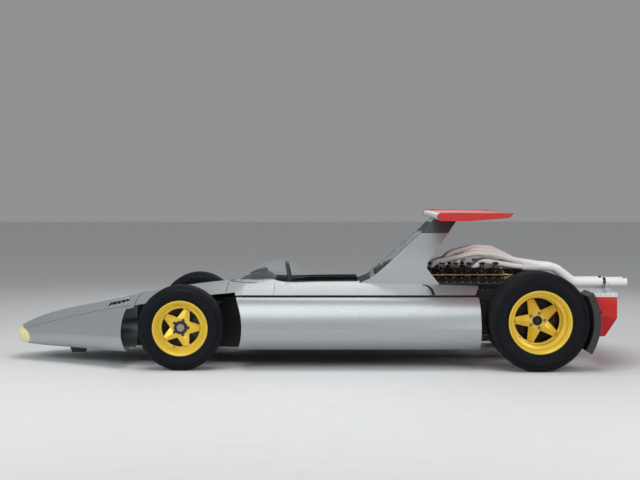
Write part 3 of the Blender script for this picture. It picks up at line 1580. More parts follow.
@dataclass
class Cockpit:
    """Cushions, steering wheel, instruments, controls and trim of the cockpit.

    Attributes:
        wheel_centre: Middle of the steering wheel.
        tilt: How far the column rises towards the seat, in degrees.
        wheel_r: Outer radius of the steering wheel.
        tube_r: Radius of its rim's tube.
        column: Length of the column.
        dash_x: X of the dash plate's face.
        opening: First and last X of the opening, its half width and its corner radius.
    """

    wheel_centre: Point = (-0.224, 0.0, 0.537)
    tilt: float = 11.0
    wheel_r: float = 0.160
    tube_r: float = 0.012
    column: float = 0.850
    dash_x: float = -0.406
    opening: tuple[float, float, float, float] = (-0.330, 0.264, 0.315, 0.150)

    def build(self) -> None:
        """Builds every piece of the cockpit."""
        self.cushions()
        self.steering_wheel()
        self.instruments()
        self.coaming()
        self.controls()

    def cushions(self) -> None:
        """Thigh, back and head cushions."""
        pan = Maker.turned((0.040, 0, 0.206), math.radians(7.5), "Y")
        Upholstery("seat_base_pad", pan, 0.230, 0.392, 0.044, (-0.5, 0.0, 0.5)).build(LEATHER, "chassis")
        run = Vector((0.478 - 0.238, 0, 0.487 - 0.202))
        middle = Vector((0.353, 0, 0.338)) + Vector((-run.z, 0, run.x)).normalized() * 0.002
        back = Maker.turned(middle, -math.atan2(run.z, run.x), "Y")
        Upholstery("seat_back_pad", back, run.length - 0.012, 0.392, 0.046,
                   (-0.66, -0.33, 0.0, 0.33, 0.66)).build(LEATHER, "chassis")
        low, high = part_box("headrest")
        slope = Vector((0.556 - 0.352, 0, 0.716 - 0.590))
        centre = ((low[0] + high[0]) / 2, 0, (low[2] + high[2]) / 2)
        head = Maker.turned(centre, -math.atan2(slope.z, slope.x), "Y") @ Matrix.Translation((0, 0, -0.024))
        Upholstery("headrest_pad", head, 0.196, 0.232, 0.050, (0.0,), 0.8, 0.006).build(LEATHER, "chassis",
                                                                                       "headrest")

    def steering_wheel(self) -> None:
        """Leather rim, slotted spokes, boss and column."""
        a = math.radians(self.tilt)
        axis = Vector((math.cos(a), 0, math.sin(a)))
        place = Maker.facing(self.wheel_centre, axis)
        ring = self.wheel_r - self.tube_r
        rim = bmesh.new()
        steps = 120
        rings = []
        for i in range(steps):
            turn = math.tau * i / steps
            grip = self.tube_r * (0.955 + 0.045 * math.cos(20 * turn))
            loop = []
            for k in range(14):
                b = math.tau * k / 14
                swell = grip if math.cos(b) > -0.2 else self.tube_r * 0.96
                radius = ring + swell * math.sin(b)
                loop.append(rim.verts.new(place @ Vector((swell * math.cos(b), radius * math.cos(turn),
                                                          radius * math.sin(turn)))))
            rings.append(loop)
        Maker.skin(rim, [*rings, rings[0]])
        grip_piece = Maker.piece("steering_rim", rim, LEATHER, "steering_wheel", 80)
        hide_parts("steering_wheel")
        seam = bmesh.new()
        Maker.lathe(seam, [(-0.0014, ring - self.tube_r + 0.0002), (0.0, ring - self.tube_r - 0.0008),
                           (0.0014, ring - self.tube_r + 0.0002)], place, 120)
        Maker.piece("steering_stitch", seam, LEAD, "steering_wheel")
        metal = bmesh.new()
        across = Vector((0, 1, 0))
        for way in (across, -across, -axis.cross(across)):  # the third spoke points down
            turn = Matrix((way, axis.cross(way), axis)).transposed().to_4x4()
            base = Matrix.Translation(self.wheel_centre) @ turn
            for off in (-0.0095, 0.0095):
                Maker.slab(metal, base @ Matrix.Translation((0.092, off, -0.001)), (0.112, 0.0065, 0.004),
                           0.001)
            for along in (0.040, 0.092, 0.143):
                Maker.slab(metal, base @ Matrix.Translation((along, 0, -0.001)), (0.014, 0.0255, 0.004),
                           0.001)
        Maker.lathe(metal, [(-0.004, 0), (-0.004, 0.040), (0.001, 0.040), (0.002, 0.036), (0.002, 0)],
                    place, 48)
        for point in Maker.circle(place, 0.0015, 0.030, 6):
            Maker.bolt(metal, point, axis, 0.0038, 0.0035, False)
        Maker.piece("steering_spokes", metal, ALLOY, "steering_wheel")
        boss, reach = bmesh.new(), self.column
        Maker.lathe(boss, [(-0.040, 0), (-0.040, 0.022), (-0.016, 0.026), (-0.004, 0.026), (-0.004, 0)],
                    place, 40)
        Maker.lathe(boss, [(0.001, 0), (0.001, 0.021), (0.006, 0.019), (0.008, 0.012), (0.008, 0)], place, 40)
        Maker.lathe(boss, [(-reach, 0), (-reach, 0.010), (-reach + 0.004, 0.012), (-0.330, 0.012),
                           (-0.326, 0.0155), (-0.300, 0.0155), (-0.296, 0.012), (-0.040, 0.012), (-0.040, 0)],
                    place, 24)
        Maker.piece("steering_column", boss, DARK_STEEL, "steering_wheel")

    def instruments(self) -> None:
        """Dials on the dash plate, switches beside them, and the pod on the hood."""
        rings, faces, marks = bmesh.new(), bmesh.new(), bmesh.new()
        x = self.dash_x
        dials = [(0.0, 0.486, 0.036, 220), (-0.086, 0.478, 0.025, 140), (0.086, 0.478, 0.025, 60),
                 (-0.148, 0.462, 0.021, 100), (0.148, 0.462, 0.021, 190)]
        for y, z, radius, reading in dials:
            place = Maker.facing((x, y, z), TAILWARD)
            Maker.lathe(rings, [(0.0, radius + 0.004), (0.007, radius + 0.004), (0.010, radius + 0.001),
                                (0.010, radius - 0.0015), (0.004, radius - 0.003)], place, 40)
            Maker.lathe(faces,
                        [(0.0005, 0), (0.004, 0.0), (0.004, radius - 0.0025), (0.0005, radius - 0.0025)],
                        place, 40)
            for k in range(11):
                angle = math.radians(-30 + 24 * k)
                long = 0.006 if k % 2 == 0 else 0.0035
                middle = radius - 0.005 - long / 2
                spot = Vector((x + 0.0043, y + middle * math.cos(angle), z + middle * math.sin(angle)))
                Maker.slab(marks, Maker.turned(spot, angle, "X"), (0.0006, long, 0.0011))
            angle = math.radians(reading)
            spot = Vector((x + 0.0052, y + radius * 0.30 * math.cos(angle),
                           z + radius * 0.30 * math.sin(angle)))
            Maker.slab(marks, Maker.turned(spot, angle, "X"), (0.0006, radius * 0.86, 0.0014))
            Maker.lathe(faces, [(0.0045, 0.004), (0.0062, 0.0035), (0.0066, 0)], place, 20)
        switches = bmesh.new()
        for y in (-0.225, -0.198, 0.198, 0.225):
            place = Maker.facing((x, y, 0.440), TAILWARD)
            Maker.lathe(switches, [(0, 0.007), (0.003, 0.007), (0.003, 0.0045), (0.008, 0.004), (0.008, 0)],
                        place, 12)
            Maker.tube(switches, [(x + 0.006, y, 0.440), (x + 0.014, y, 0.443), (x + 0.024, y, 0.450)],
                       [0.0016, 0.002, 0.003], 10)
        Maker.piece("dial_rings", rings, DARK_STEEL, "chassis")
        Maker.piece("dial_faces", faces, DIAL, "chassis")
        Maker.piece("dial_marks", marks, PALE_MARK, "chassis")
        Maker.piece("dash_switches", switches, STEEL, "chassis")
        pod = bmesh.new()
        place = Matrix.Translation((-0.392, 0, 0.6085))
        Maker.lathe(pod, [(-0.125, 0), (-0.112, 0.010), (-0.085, 0.020), (-0.050, 0.030), (-0.012, 0.0375),
                          (0.0, 0.038), (0.001, 0.0355), (-0.004, 0.034), (-0.006, 0.0)], place, 48)
        Maker.piece("hood_pod", pod, HOOD, "chassis", 45)
        lens = bmesh.new()
        Maker.lathe(lens, [(-0.0055, 0), (-0.0035, 0), (-0.0035, 0.0335), (-0.0055, 0.0335)], place, 40)
        Maker.piece("pod_dial", lens, DIAL, "chassis")

    def coaming(self) -> None:
        """Rubber bead around the opening, and the riveted strip along the screen's foot."""
        bead, foot = bmesh.new(), bmesh.new()
        deck = Shell("cockpit_deck")
        x0, x1, half, corner = self.opening
        reach, path = corner + 0.004, []
        for side, first in ((Side.RIGHT, 90), (Side.LEFT, 180)):
            for step in range(13):
                a = math.radians(first + 7.5 * step)
                cy = side.value * (half - corner)
                path.append(deck.drop(x0 + corner + reach * math.cos(a), cy + reach * math.sin(a)))
        straight = x1 - x0 - corner - 0.01
        right, left = ([deck.drop(x1 - 0.004 - straight * i / 27, sign * (half + 0.004)) for i in range(28)]
                       for sign in (1, -1))
        whole = [spot[0] + Vector((0, 0, 0.001)) for spot in (*right, *path, *reversed(left)) if spot]
        Maker.tube(bead, whole, 0.0068, 12)
        Maker.piece("coaming_bead", bead, SEAL_BLACK, "chassis", 60)
        nose_x, end_x, wide, deck_z = -0.652, -0.092, 0.322, 0.56  # the screen's foot is an arc on the deck
        radius = ((end_x - nose_x) ** 2 + wide ** 2) / (2 * (end_x - nose_x))
        line = []
        for i in range(81):
            y = wide * (i / 40 - 1)
            found = deck.drop(nose_x + radius - math.sqrt(radius * radius - y * y), y)
            if found and abs(found[0].z - deck_z) < 0.06:
                line.append(found)
        deck.ribbon(foot, line, 0.013, 0.0016)
        for point, normal in line[3:-3:6]:
            Maker.rivet(foot, point + normal * 0.0016, normal, 0.0034, 0.0016)
        Maker.piece("screen_strip", foot, SEAL_BLACK, "chassis")

    def controls(self) -> None:
        """Gear lever on its base, and three pedals."""
        parts, knob = bmesh.new(), bmesh.new()
        base = Vector((-0.250, 0.262, 0.205))
        Maker.slab(parts, Matrix.Translation(base + Vector((0, 0.020, 0.020))), (0.120, 0.040, 0.036), 0.006)
        path = [base + Vector(p)
                for p in ((0, 0.010, 0.030), (-0.006, -0.006, 0.100), (-0.014, -0.020, 0.165))]
        Maker.tube(parts, Maker.curve(path, 5), 0.0058, 12)
        Maker.lathe(knob, [(-0.018, 0), (-0.017, 0.008), (-0.010, 0.0145), (0.0, 0.0175), (0.010, 0.0155),
                           (0.016, 0.008), (0.018, 0)], Maker.facing(path[-1], (-0.1, -0.2, 1)), 24)
        for y in (-0.100, 0.0, 0.100):
            Maker.tube(parts, [(-0.985, y, 0.150), (-0.965, y, 0.230), (-0.955, y, 0.300)], 0.007, 10)
            Maker.slab(parts, Maker.turned((-0.948, y, 0.305), math.radians(-14), "Y"),
                       (0.006, 0.062, 0.078), 0.003)
        Maker.piece("cockpit_controls", parts, STEEL, "chassis")
        Maker.piece("gear_knob", knob, LEATHER, "chassis", 70)


# ------------------------------------------------------------------ engine and exhaust


@dataclass
class PowerUnit:
    """What is bolted on the two banks, the block and the gearbox.

    Attributes:
        crank_z: Height of the crank.
        lean: Angle of a bank from upright, in degrees.
        first_port: X of the first cylinder.
        pitch: Distance between cylinders.
        cylinders: Cylinders in a bank.
        head: First and last X of the heads.
        head_top: Distance of the heads' top from the crank, up the bank.
        cover_top: Distance of the covers' top.
        cover_v: Inner and outer edge of a cover, across the bank.
        stub_top: Distance of the intakes' top.
        stub_r: Radius of an intake.
        case_half: Least half width of the gearbox that takes a rib.
        case_top: Height that the gearbox's ribs and studs stay below.
    """

    crank_z: float = 0.240
    lean: float = 30.0
    first_port: float = 0.760
    pitch: float = 0.094
    cylinders: int = 6
    head: tuple[float, float] = (0.700, 1.290)
    head_top: float = 0.370
    cover_top: float = 0.415
    cover_v: tuple[float, float] = (0.024, 0.100)
    stub_top: float = 0.518
    stub_r: float = 0.016
    case_half: float = 0.055
    case_top: float = 0.440

    def spot(self, side: Side, x: float, u: float, v: float) -> Vector:
        """Point of a bank.

        Args:
            side: The bank.
            x: X of the point.
            u: Distance from the crank, up the bank.
            v: Distance across the bank, outwards.

        Returns:
            The point.
        """
        a = math.radians(self.lean)
        y = u * math.sin(a) + v * math.cos(a)
        return Vector((x, side.value * y, self.crank_z + u * math.cos(a) - v * math.sin(a)))

    def place(self, side: Side, x: float, u: float, v: float) -> Matrix:
        """Frame on a bank: local X along the car, local Z up the bank.

        Args:
            side: The bank.
            x: X of its origin.
            u: Distance up the bank.
            v: Distance across the bank.

        Returns:
            The matrix.
        """
        return Maker.turned(self.spot(side, x, u, v), -side.value * math.radians(self.lean), "X")

    def up(self, side: Side) -> Vector:
        """Direction up a bank."""
        return (self.spot(side, 0, 1, 0) - self.spot(side, 0, 0, 0)).normalized()

    def out(self, side: Side) -> Vector:
        """Direction across a bank, outwards."""
        return (self.spot(side, 0, 0, 1) - self.spot(side, 0, 0, 0)).normalized()

    def build(self) -> None:
        """Builds every piece of the engine."""
        self.covers()
        self.intakes()
        self.ignition()
        self.fuel()
        self.block()
        self.gearbox()

    def covers(self) -> None:
        """Ribs, nuts and end caps of the four cam covers."""
        ribs, nuts, caps = bmesh.new(), bmesh.new(), bmesh.new()
        start, end = self.head[0] - 0.008, self.head[1] + 0.008
        inner, outer = self.cover_v
        for side in Side:
            for way in (-1, 1):
                for k in range(4):
                    v = way * (inner + 0.020 + 0.012 * k)
                    Maker.slab(ribs, self.place(side, (start + end) / 2, self.cover_top + 0.0015, v),
                               (end - start - 0.040, 0.0036, 0.005), 0.0012)
                for k in range(11):
                    x = start + 0.020 + (end - start - 0.040) * k / 10
                    for v in (inner + 0.0075, outer - 0.0075):
                        Maker.bolt(nuts, self.spot(side, x, self.cover_top - 0.0006, way * v), self.up(side),
                                   0.0056, 0.0075)
                for x, face in ((start, -1), (end, 1)):
                    middle = self.spot(side, x, self.cover_top - 0.021, way * (inner + outer) / 2)
                    Maker.lathe(caps, [(-0.001, 0), (-0.001, 0.0205), (0.004, 0.0205), (0.006, 0.018),
                                       (0.006, 0)], Maker.facing(middle, (face, 0, 0)), 28)
                for k in range(18):
                    x = self.head[0] + 0.016 + (self.head[1] - self.head[0] - 0.032) * k / 17
                    edge = self.spot(side, x, self.head_top - 0.010, way * 0.0955)
                    Maker.rivet(nuts, edge, self.out(side) * way, 0.0042, 0.0040)
        Maker.piece("cover_ribs", ribs, CRACKLE, "chassis")
        Maker.piece("cover_nuts", nuts, STEEL, "chassis")
        Maker.piece("cam_end_caps", caps, ALLOY, "chassis")

    def intakes(self) -> None:
        """Rubber sleeves, clamps, guide flanges and bell mouths of the intakes."""
        sleeves, clamps, bells = bmesh.new(), bmesh.new(), bmesh.new()
        r, top = self.stub_r, self.stub_top
        for side in Side:
            for i in range(self.cylinders):
                base = self.spot(side, self.first_port + self.pitch * i, 0, 0)
                axis = Maker.facing(base, self.up(side))
                Maker.lathe(clamps, [(self.head_top, r), (self.head_top, r + 0.010),
                                     (self.head_top + 0.008, r + 0.010),
                                     (self.head_top + 0.010, r + 0.0005)], axis, 24)
                low, high = self.head_top + 0.045, self.head_top + 0.105
                Maker.lathe(sleeves, [(low, r), (low, r + 0.004), (low + 0.015, r + 0.0042),
                                      (low + 0.020, r + 0.0062), (high - 0.020, r + 0.0062),
                                      (high - 0.015, r + 0.0042), (high, r + 0.004), (high, r)], axis, 24)
                for at in (low + 0.004, high - 0.010):
                    Maker.lathe(clamps, Maker.band(at, at + 0.006, r + 0.004, r + 0.0056), axis, 24)
                    screw = base + self.up(side) * (at + 0.003) + self.out(side) * (r + 0.006)
                    Maker.slab(clamps, Matrix.Translation(screw) @ axis.to_3x3().to_4x4(),
                               (0.008, 0.006, 0.012), 0.001)
                Maker.lathe(bells, [(top - 0.026, r + 0.0004), (top - 0.014, r + 0.0015),
                                    (top - 0.005, r + 0.0045), (top - 0.0008, r + 0.0085),
                                    (top + 0.001, r + 0.0088), (top + 0.0018, r + 0.0075),
                                    (top + 0.0016, r + 0.0050), (top - 0.002, r + 0.0005),
                                    (top - 0.009, r - 0.0015)], axis, 28)
                Maker.lathe(sleeves,
                            [(top - 0.009, r - 0.0015), (top + 0.0006, r - 0.0012), (top + 0.0006, 0)],
                            axis, 24)
        Maker.piece("intake_sleeves", sleeves, SEAL_BLACK, "chassis", 50)
        Maker.piece("intake_clamps", clamps, STEEL, "chassis")
        Maker.piece("intake_bells", bells, ALLOY, "chassis", 50)

    def ignition(self) -> None:
        """Plug caps between the covers, their leads, and the conduit that takes them to the rear."""
        caps, leads, clips = bmesh.new(), bmesh.new(), bmesh.new()
        for side in Side:
            rail = [self.spot(side, x, self.cover_top + 0.016, -0.066) for x in (0.716, 0.90, 1.10, 1.306)]
            rail += [self.spot(side, 1.345, self.cover_top + 0.004, -0.074),
                     self.spot(side, 1.372, self.cover_top - 0.060, -0.090),
                     Vector((1.392, side.value * 0.150, 0.462))]
            Maker.tube(leads, Maker.curve(rail, 6), 0.0085, 12)
            for k in range(6):
                x = 0.730 + 0.110 * k
                point = self.spot(side, x, self.cover_top + 0.016, -0.066)
                Maker.lathe(clips, Maker.band(-0.004, 0.004, 0.0088, 0.0102),
                            Maker.facing(point, TAILWARD), 16)
                Maker.slab(clips, self.place(side, x, self.cover_top + 0.004, -0.066),
                           (0.008, 0.010, 0.010), 0.001)
            for i in range(self.cylinders):
                x = self.first_port + self.pitch * i + 0.040
                axis = Maker.facing(self.spot(side, x, 0, 0), self.up(side))
                top = self.head_top + 0.058
                Maker.lathe(caps, [(self.head_top, 0.0135), (self.head_top + 0.010, 0.0135),
                                   (self.head_top + 0.012, 0.0105), (top - 0.016, 0.0105),
                                   (top - 0.010, 0.0125), (top, 0.0115), (top + 0.003, 0.006),
                                   (top + 0.003, 0)], axis, 20)
                path = [self.spot(side, x, top, 0.0), self.spot(side, x, top + 0.020, -0.004),
                        self.spot(side, x + 0.006, top + 0.024, -0.026),
                        self.spot(side, x + 0.016, top + 0.010, -0.052),
                        self.spot(side, x + 0.030, self.cover_top + 0.018, -0.064)]
                Maker.tube(leads, Maker.curve(path, 5), 0.0042, 10)
        Maker.piece("plug_caps", caps, LEAD, "chassis", 50)
        Maker.piece("ignition_leads", leads, LEAD, "chassis", 60)
        Maker.piece("lead_clips", clips, STEEL, "chassis")

    def fuel(self) -> None:
        """Fuel rail over each bank's outer cover, with a pipe and a union for each cylinder."""
        brass, unions = bmesh.new(), bmesh.new()
        for side in Side:
            u, v = self.cover_top + 0.038, 0.050
            rail = [self.spot(side, *p) for p in ((0.722, u, v), (1.300, u, v), (1.325, u - 0.004, v + 0.002),
                                                  (1.345, u - 0.040, v + 0.020), (1.350, 0.345, 0.098))]
            Maker.tube(brass, Maker.curve(rail, 6), 0.0060, 12)
            for x in (0.720, 1.302):
                Maker.lathe(unions, Maker.band(-0.009, 0.009, 0, 0.0092),
                            Maker.facing(self.spot(side, x, u, v), TAILWARD), 6)
            for i in range(self.cylinders):
                x = self.first_port + self.pitch * i
                foot = self.spot(side, x, self.head_top + 0.030, self.stub_r - 0.001)
                path = [self.spot(side, x, u, v), self.spot(side, x, u - 0.004, v - 0.014),
                        self.spot(side, x, u - 0.020, self.stub_r + 0.014), foot]
                Maker.tube(brass, Maker.curve(path, 5), 0.0028, 8)
                Maker.lathe(unions, [(-0.002, 0.0062), (0.012, 0.0062), (0.013, 0.0045), (0.013, 0)],
                            Maker.facing(foot, self.out(side) * 0.8 + self.up(side) * 0.6), 6)
                Maker.lathe(unions, Maker.band(-0.0075, 0.0075, 0, 0.0082),
                            Maker.facing(self.spot(side, x, u, v), TAILWARD), 6)
                post = self.place(side, x - self.pitch / 4, self.cover_top + 0.019, v)
                Maker.slab(unions, post, (0.006, 0.010, 0.036), 0.001)
        Maker.piece("fuel_rails", brass, BRASS, "chassis", 60)
        Maker.piece("fuel_unions", unions, STEEL, "chassis")

    def block(self) -> None:
        """Ribs, studs and pipes of the crankcase, the lifting eyes, and the flange of the gearbox."""
        ribs, studs, pipes = bmesh.new(), bmesh.new(), bmesh.new()
        case = Shell("engine_block")
        for side in Side:
            for k in range(9):
                x = 0.680 + 0.084 * k
                path = [case.beside(side, x, 0.135 + 0.022 * step, 0.6) for step in range(12)]
                case.ribbon(ribs, path, 0.007, 0.006)
                found = case.beside(side, x + 0.042, 0.150, 0.6)
                if found:
                    Maker.bolt(studs, *found, 0.0075, 0.010)
            pipe = ((0.640, 0.262, 0.196), (0.800, 0.258, 0.190), (1.180, 0.258, 0.190),
                    (1.320, 0.252, 0.214), (1.372, 0.236, 0.262), (1.384, 0.214, 0.300))
            Maker.tube(pipes, Maker.curve([(x, side.value * y, z) for x, y, z in pipe], 6), 0.0125, 14)
            for x in (0.860, 1.120):
                Maker.lathe(studs, Maker.band(-0.008, 0.008, 0.0128, 0.0160),
                            Maker.facing((x, side.value * 0.258, 0.190), TAILWARD), 20)
                Maker.slab(studs, Matrix.Translation((x, side.value * 0.243, 0.190)), (0.014, 0.018, 0.012),
                           0.002)
            eye = self.place(side, 1.306, 0.395, 0.062)
            Maker.slab(studs, eye, (0.006, 0.056, 0.058), 0.003)
            Maker.slab(studs, self.place(side, 1.299, 0.372, 0.062), (0.016, 0.056, 0.008), 0.002)
            for v in (0.046, 0.078):
                Maker.bolt(studs, self.spot(side, 1.309, 0.395, v), TAILWARD, 0.007, 0.008)
            for k in range(6):
                Maker.bolt(studs, self.spot(side, 1.2895, 0.318 + 0.018 * (k % 3), -0.05 + 0.10 * (k // 3)),
                           TAILWARD, 0.0062, 0.008)
        outline = [(0.152, 0.132), (0.152, 0.235), (0.152, 0.400), (0.118, 0.440)]
        ring = [*outline, *[(-y, z) for y, z in reversed(outline)]]
        for (y0, z0), (y1, z1) in zip(ring, ring[1:] + ring[:1]):
            count = max(int(math.hypot(y1 - y0, z1 - z0) / 0.05), 1)
            for k in range(count):
                share = (k + 0.5) / count
                y, z = y0 + (y1 - y0) * share, z0 + (z1 - z0) * share
                if abs(y) > 0.14 and abs(z - REAR_AXLE_Z) < 0.03:
                    continue  # the drive shaft's joint turns here
                Maker.bolt(studs, (1.4095, y * 0.955, 0.285 + (z - 0.285) * 0.955), TAILWARD, 0.0065, 0.010)
            long = math.hypot(y1 - y0, z1 - z0)
            place = Maker.turned((1.403, (y0 + y1) / 2, (z0 + z1) / 2), math.atan2(z1 - z0, y1 - y0), "X")
            Maker.slab(ribs, place, (0.013, long + 0.014, 0.020), 0.003)
        Maker.piece("case_ribs", ribs, CAST, "chassis", 20)
        Maker.piece("case_studs", studs, STEEL, "chassis")
        Maker.piece("water_pipes", pipes, ALLOY, "chassis", 60)

    def gearbox(self) -> None:
        """Ribs, joints, output covers and end plate of the gearbox."""
        ribs, studs, plates = bmesh.new(), bmesh.new(), bmesh.new()
        case = Shell("gearbox")
        for side in Side:
            for k in range(7):
                path = [case.beside(side, 1.540 + 0.066 * k, 0.226 + 0.013 * step, 0.5) for step in range(14)]
                case.ribbon(ribs, [p for p in path if p and abs(p[0].y) > self.case_half], 0.006, 0.007)
            for z in (0.262, 0.318, 0.372):
                path = [case.beside(side, 1.530 + 0.030 * k, z, 0.5) for k in range(15)]
                case.ribbon(ribs, [p for p in path if p and abs(p[0].y) > self.case_half], 0.005, 0.005)
            hub = Maker.turned((REAR_AXLE_X, side.value * 0.118, REAR_AXLE_Z), side.value * math.pi / 2, "Z")
            Maker.lathe(plates, [(0, 0), (0, 0.074), (0.020, 0.074), (0.024, 0.070), (0.026, 0.050),
                                 (0.036, 0.046), (0.036, 0.0)], hub, 48)
            for point in Maker.circle(hub, 0.0238, 0.062, 8, 0.2):
                Maker.bolt(studs, point, (0, side.value, 0), 0.0055, 0.008)
        for k in range(8):
            for x in (1.552, 1.728):
                found = case.drop(x, -0.07 + 0.01 * (2 * k))
                if found and found[0].z < self.case_top:
                    Maker.bolt(studs, *found, 0.0050, 0.007)
        for x in (1.545, 1.560, 1.722, 1.736):
            path = [case.drop(x, 0.084 * (k / 12 - 1)) for k in range(25)]
            case.ribbon(ribs, [p for p in path if p and p[0].z < self.case_top], 0.008, 0.006)
        for k in range(10):
            a = math.tau * k / 10
            Maker.bolt(studs, (1.9975, 0.044 * math.cos(a), 0.318 + 0.062 * math.sin(a)), TAILWARD, 0.0055,
                       0.008)
        Maker.slab(plates, Matrix.Translation((1.992, 0, 0.318)), (0.012, 0.112, 0.150), 0.005)
        Maker.lathe(plates, [(0, 0.022), (0.012, 0.022), (0.014, 0.019), (0.014, 0.011), (0.022, 0.011),
                             (0.022, 0)], Maker.facing((1.998, 0, 0.318), TAILWARD), 28)
        Maker.piece("gearbox_ribs", ribs, CAST, "chassis", 20)
        Maker.piece("gearbox_studs", studs, STEEL, "chassis")
        Maker.piece("gearbox_plates", plates, CAST, "chassis")


@dataclass
class ExhaustTrim:
    """Flanges, clamps, weld beads and lips of the two exhausts.

    Attributes:
        y: Distance of each long pipe from the middle.
        z: Height of its rear end.
        pipe_r: Radius of the long pipe.
        end_r: Radius of the tail pipe.
        end_x: X of its open end.
        clamp_x: X of the clamp on the tail cap's saddle.
    """

    y: float = 0.085
    z: float = 0.546
    pipe_r: float = 0.030
    end_r: float = 0.026
    end_x: float = 2.196
    clamp_x: float = 2.031

    def build(self, engine: PowerUnit) -> None:
        """Builds the trim of both exhausts.

        Args:
            engine: The engine whose ports they leave.
        """
        beads, clamps, nuts, flanges = bmesh.new(), bmesh.new(), bmesh.new(), bmesh.new()
        for side in Side:
            y = side.value * self.y
            for i in range(engine.cylinders):
                x = engine.first_port + engine.pitch * i
                place = engine.place(side, x, 0.335, -0.098)
                Maker.slab(flanges, place, (0.078, 0.008, 0.050), 0.004)
                for off in (-0.031, 0.031):
                    point = engine.spot(side, x + off, 0.335, -0.102)
                    Maker.bolt(nuts, point, -engine.out(side), 0.0065, 0.010)
            for x, r in ((1.872, self.pipe_r), (1.960, self.pipe_r), (2.010, self.pipe_r),
                         (2.075, self.end_r), (2.150, self.end_r)):
                Maker.lathe(beads, [(-0.003, r - 0.001), (-0.0015, r + 0.0014), (0.0015, r + 0.0014),
                                    (0.003, r - 0.001)], Matrix.Translation((x, y, self.z)), 32)
            r = self.end_r
            Maker.lathe(beads, [(-0.010, r - 0.0005), (-0.006, r + 0.0016), (-0.001, r + 0.0016),
                                (0, r + 0.0004), (0, r - 0.0034)],
                        Matrix.Translation((self.end_x - 0.0003, y, self.z)), 40)
            r = self.pipe_r
            Maker.lathe(clamps, Maker.band(-0.009, 0.009, r, r + 0.0035),
                        Matrix.Translation((self.clamp_x, y, self.z)), 40)
            for way in (-1, 1):
                ear = (self.clamp_x, y + way * (r + 0.008), self.z)
                Maker.slab(clamps, Matrix.Translation(ear), (0.017, 0.016, 0.007), 0.0015)
                Maker.bolt(clamps, (ear[0], ear[1] + way * 0.002, ear[2] + 0.0035), UPWARD, 0.0055, 0.006)
                foot_y = y + way * (r + 0.010)
                Maker.tube(clamps, [(self.clamp_x, foot_y, self.z), (self.clamp_x, foot_y, self.z - 0.040)],
                           0.0035, 10)
        Maker.piece("exhaust_beads", beads, PIPE, "chassis", 60)
        Maker.piece("exhaust_clamps", clamps, SEAL_BLACK, "chassis")
        Maker.piece("exhaust_nuts", nuts, STEEL, "chassis")
        Maker.piece("exhaust_flanges", flanges, CAST, "chassis")


# ------------------------------------------------------------------ wing, tail and running gear


@dataclass
class TailTrim:
    """Faceted boxes, fasteners and guard stays of the tail.

    Attributes:
        fold_z: Height where a box's outer side starts to fold in.
        cap_z: Height that the cap's fasteners stay below.
    """

    fold_z: float = 0.330
    cap_z: float = 0.515

    def build(self) -> None:
        """Builds every piece of the tail."""
        self.boxes()
        self.fasteners()

    def boxes(self) -> None:
        """Boxes whose outer corners fold in towards their foot."""
        for side in Side:
            name = f"tail_box_{side.word}"
            low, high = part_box(name)
            inner, outer = sorted((abs(low[1]), abs(high[1])))
            front, back, edge = low[0], high[0], high[0] - 0.034
            foot, top = low[2], high[2] - 0.0003
            s = side.value
            mesh = bmesh.new()
            spots = {
                "a": (front, s * inner, top), "b": (back, s * inner, top), "c": (edge, s * outer, top),
                "d": (front, s * outer, top), "e": (front, s * inner, foot),
                "f": (back - 0.090, s * inner, foot), "g": (edge - 0.062, s * (outer - 0.105), foot),
                "h": (front + 0.006, s * (outer - 0.060), foot), "i": (back, s * inner, foot + 0.120),
                "j": (edge, s * outer, self.fold_z), "k": (front, s * outer, self.fold_z - 0.030),
                "m": (edge - 0.120, s * outer, self.fold_z + 0.020),
            }
            v = {key: mesh.verts.new(point) for key, point in spots.items()}
            for face in ("abcd", "efgh", "aefib", "bijc", "ifgj", "cjmkd", "jgm", "mghk", "adkhe"):
                mesh.faces.new([v[key] for key in face])
            bmesh.ops.recalc_face_normals(mesh, faces=mesh.faces)
            bmesh.ops.bevel(mesh, geom=list(mesh.edges), offset=0.0035, segments=2, affect="EDGES",
                            profile=0.6)
            made = Maker.piece(f"tail_box_{side.word}_dressed", mesh, RED, "chassis", 18)
            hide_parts(name)

    def fasteners(self) -> None:
        """Fasteners of the cap and the tyre guards, and the guards' stays."""
        turns, stays = bmesh.new(), bmesh.new()
        cap = Shell("tail_cap")
        for side in Side:
            s = side.value
            for x, y in ((1.775, 0.24), (1.775, 0.36), (1.775, 0.48), (2.040, 0.24), (2.034, 0.36),
                         (2.026, 0.48), (1.860, 0.602), (1.940, 0.602), (1.775, 0.12), (2.040, 0.12),
                         (2.008, 0.590)):
                found = cap.drop(x, s * y)
                if found and found[0].z < self.cap_z:
                    Maker.rivet(turns, *found, *QUARTER_TURN)
            Maker.rivets(turns, [cap.beside(side, 1.850 + 0.032 * k, 0.492, 1.4) for k in range(6)],
                         *CAP_RIVET)
            guard = Shell(f"tyre_guard_{side.word}")
            rows = [guard.hit((2.4, s * (0.68 + 0.075 * k), z), (-1, 0, 0)) for k in range(4)
                    for z in (0.40, 0.26)]
            Maker.rivets(turns, rows, *GUARD_RIVET)
            found = guard.hit((2.4, s * 0.66, 0.37), (-1, 0, 0))
            Maker.tube(stays, [(1.905, s * 0.612, 0.370), found[0] + Vector((-0.004, 0, 0))], 0.0075, 12)
            Maker.lathe(stays, Maker.band(0, 0.004, 0, 0.017),
                        Maker.facing((1.905, s * 0.6195, 0.370), (0, s, 0)), 20)
        Maker.piece("tail_fasteners", turns, STEEL, "chassis", 50)
        Maker.piece("guard_stays", stays, DARK_STEEL, "chassis")


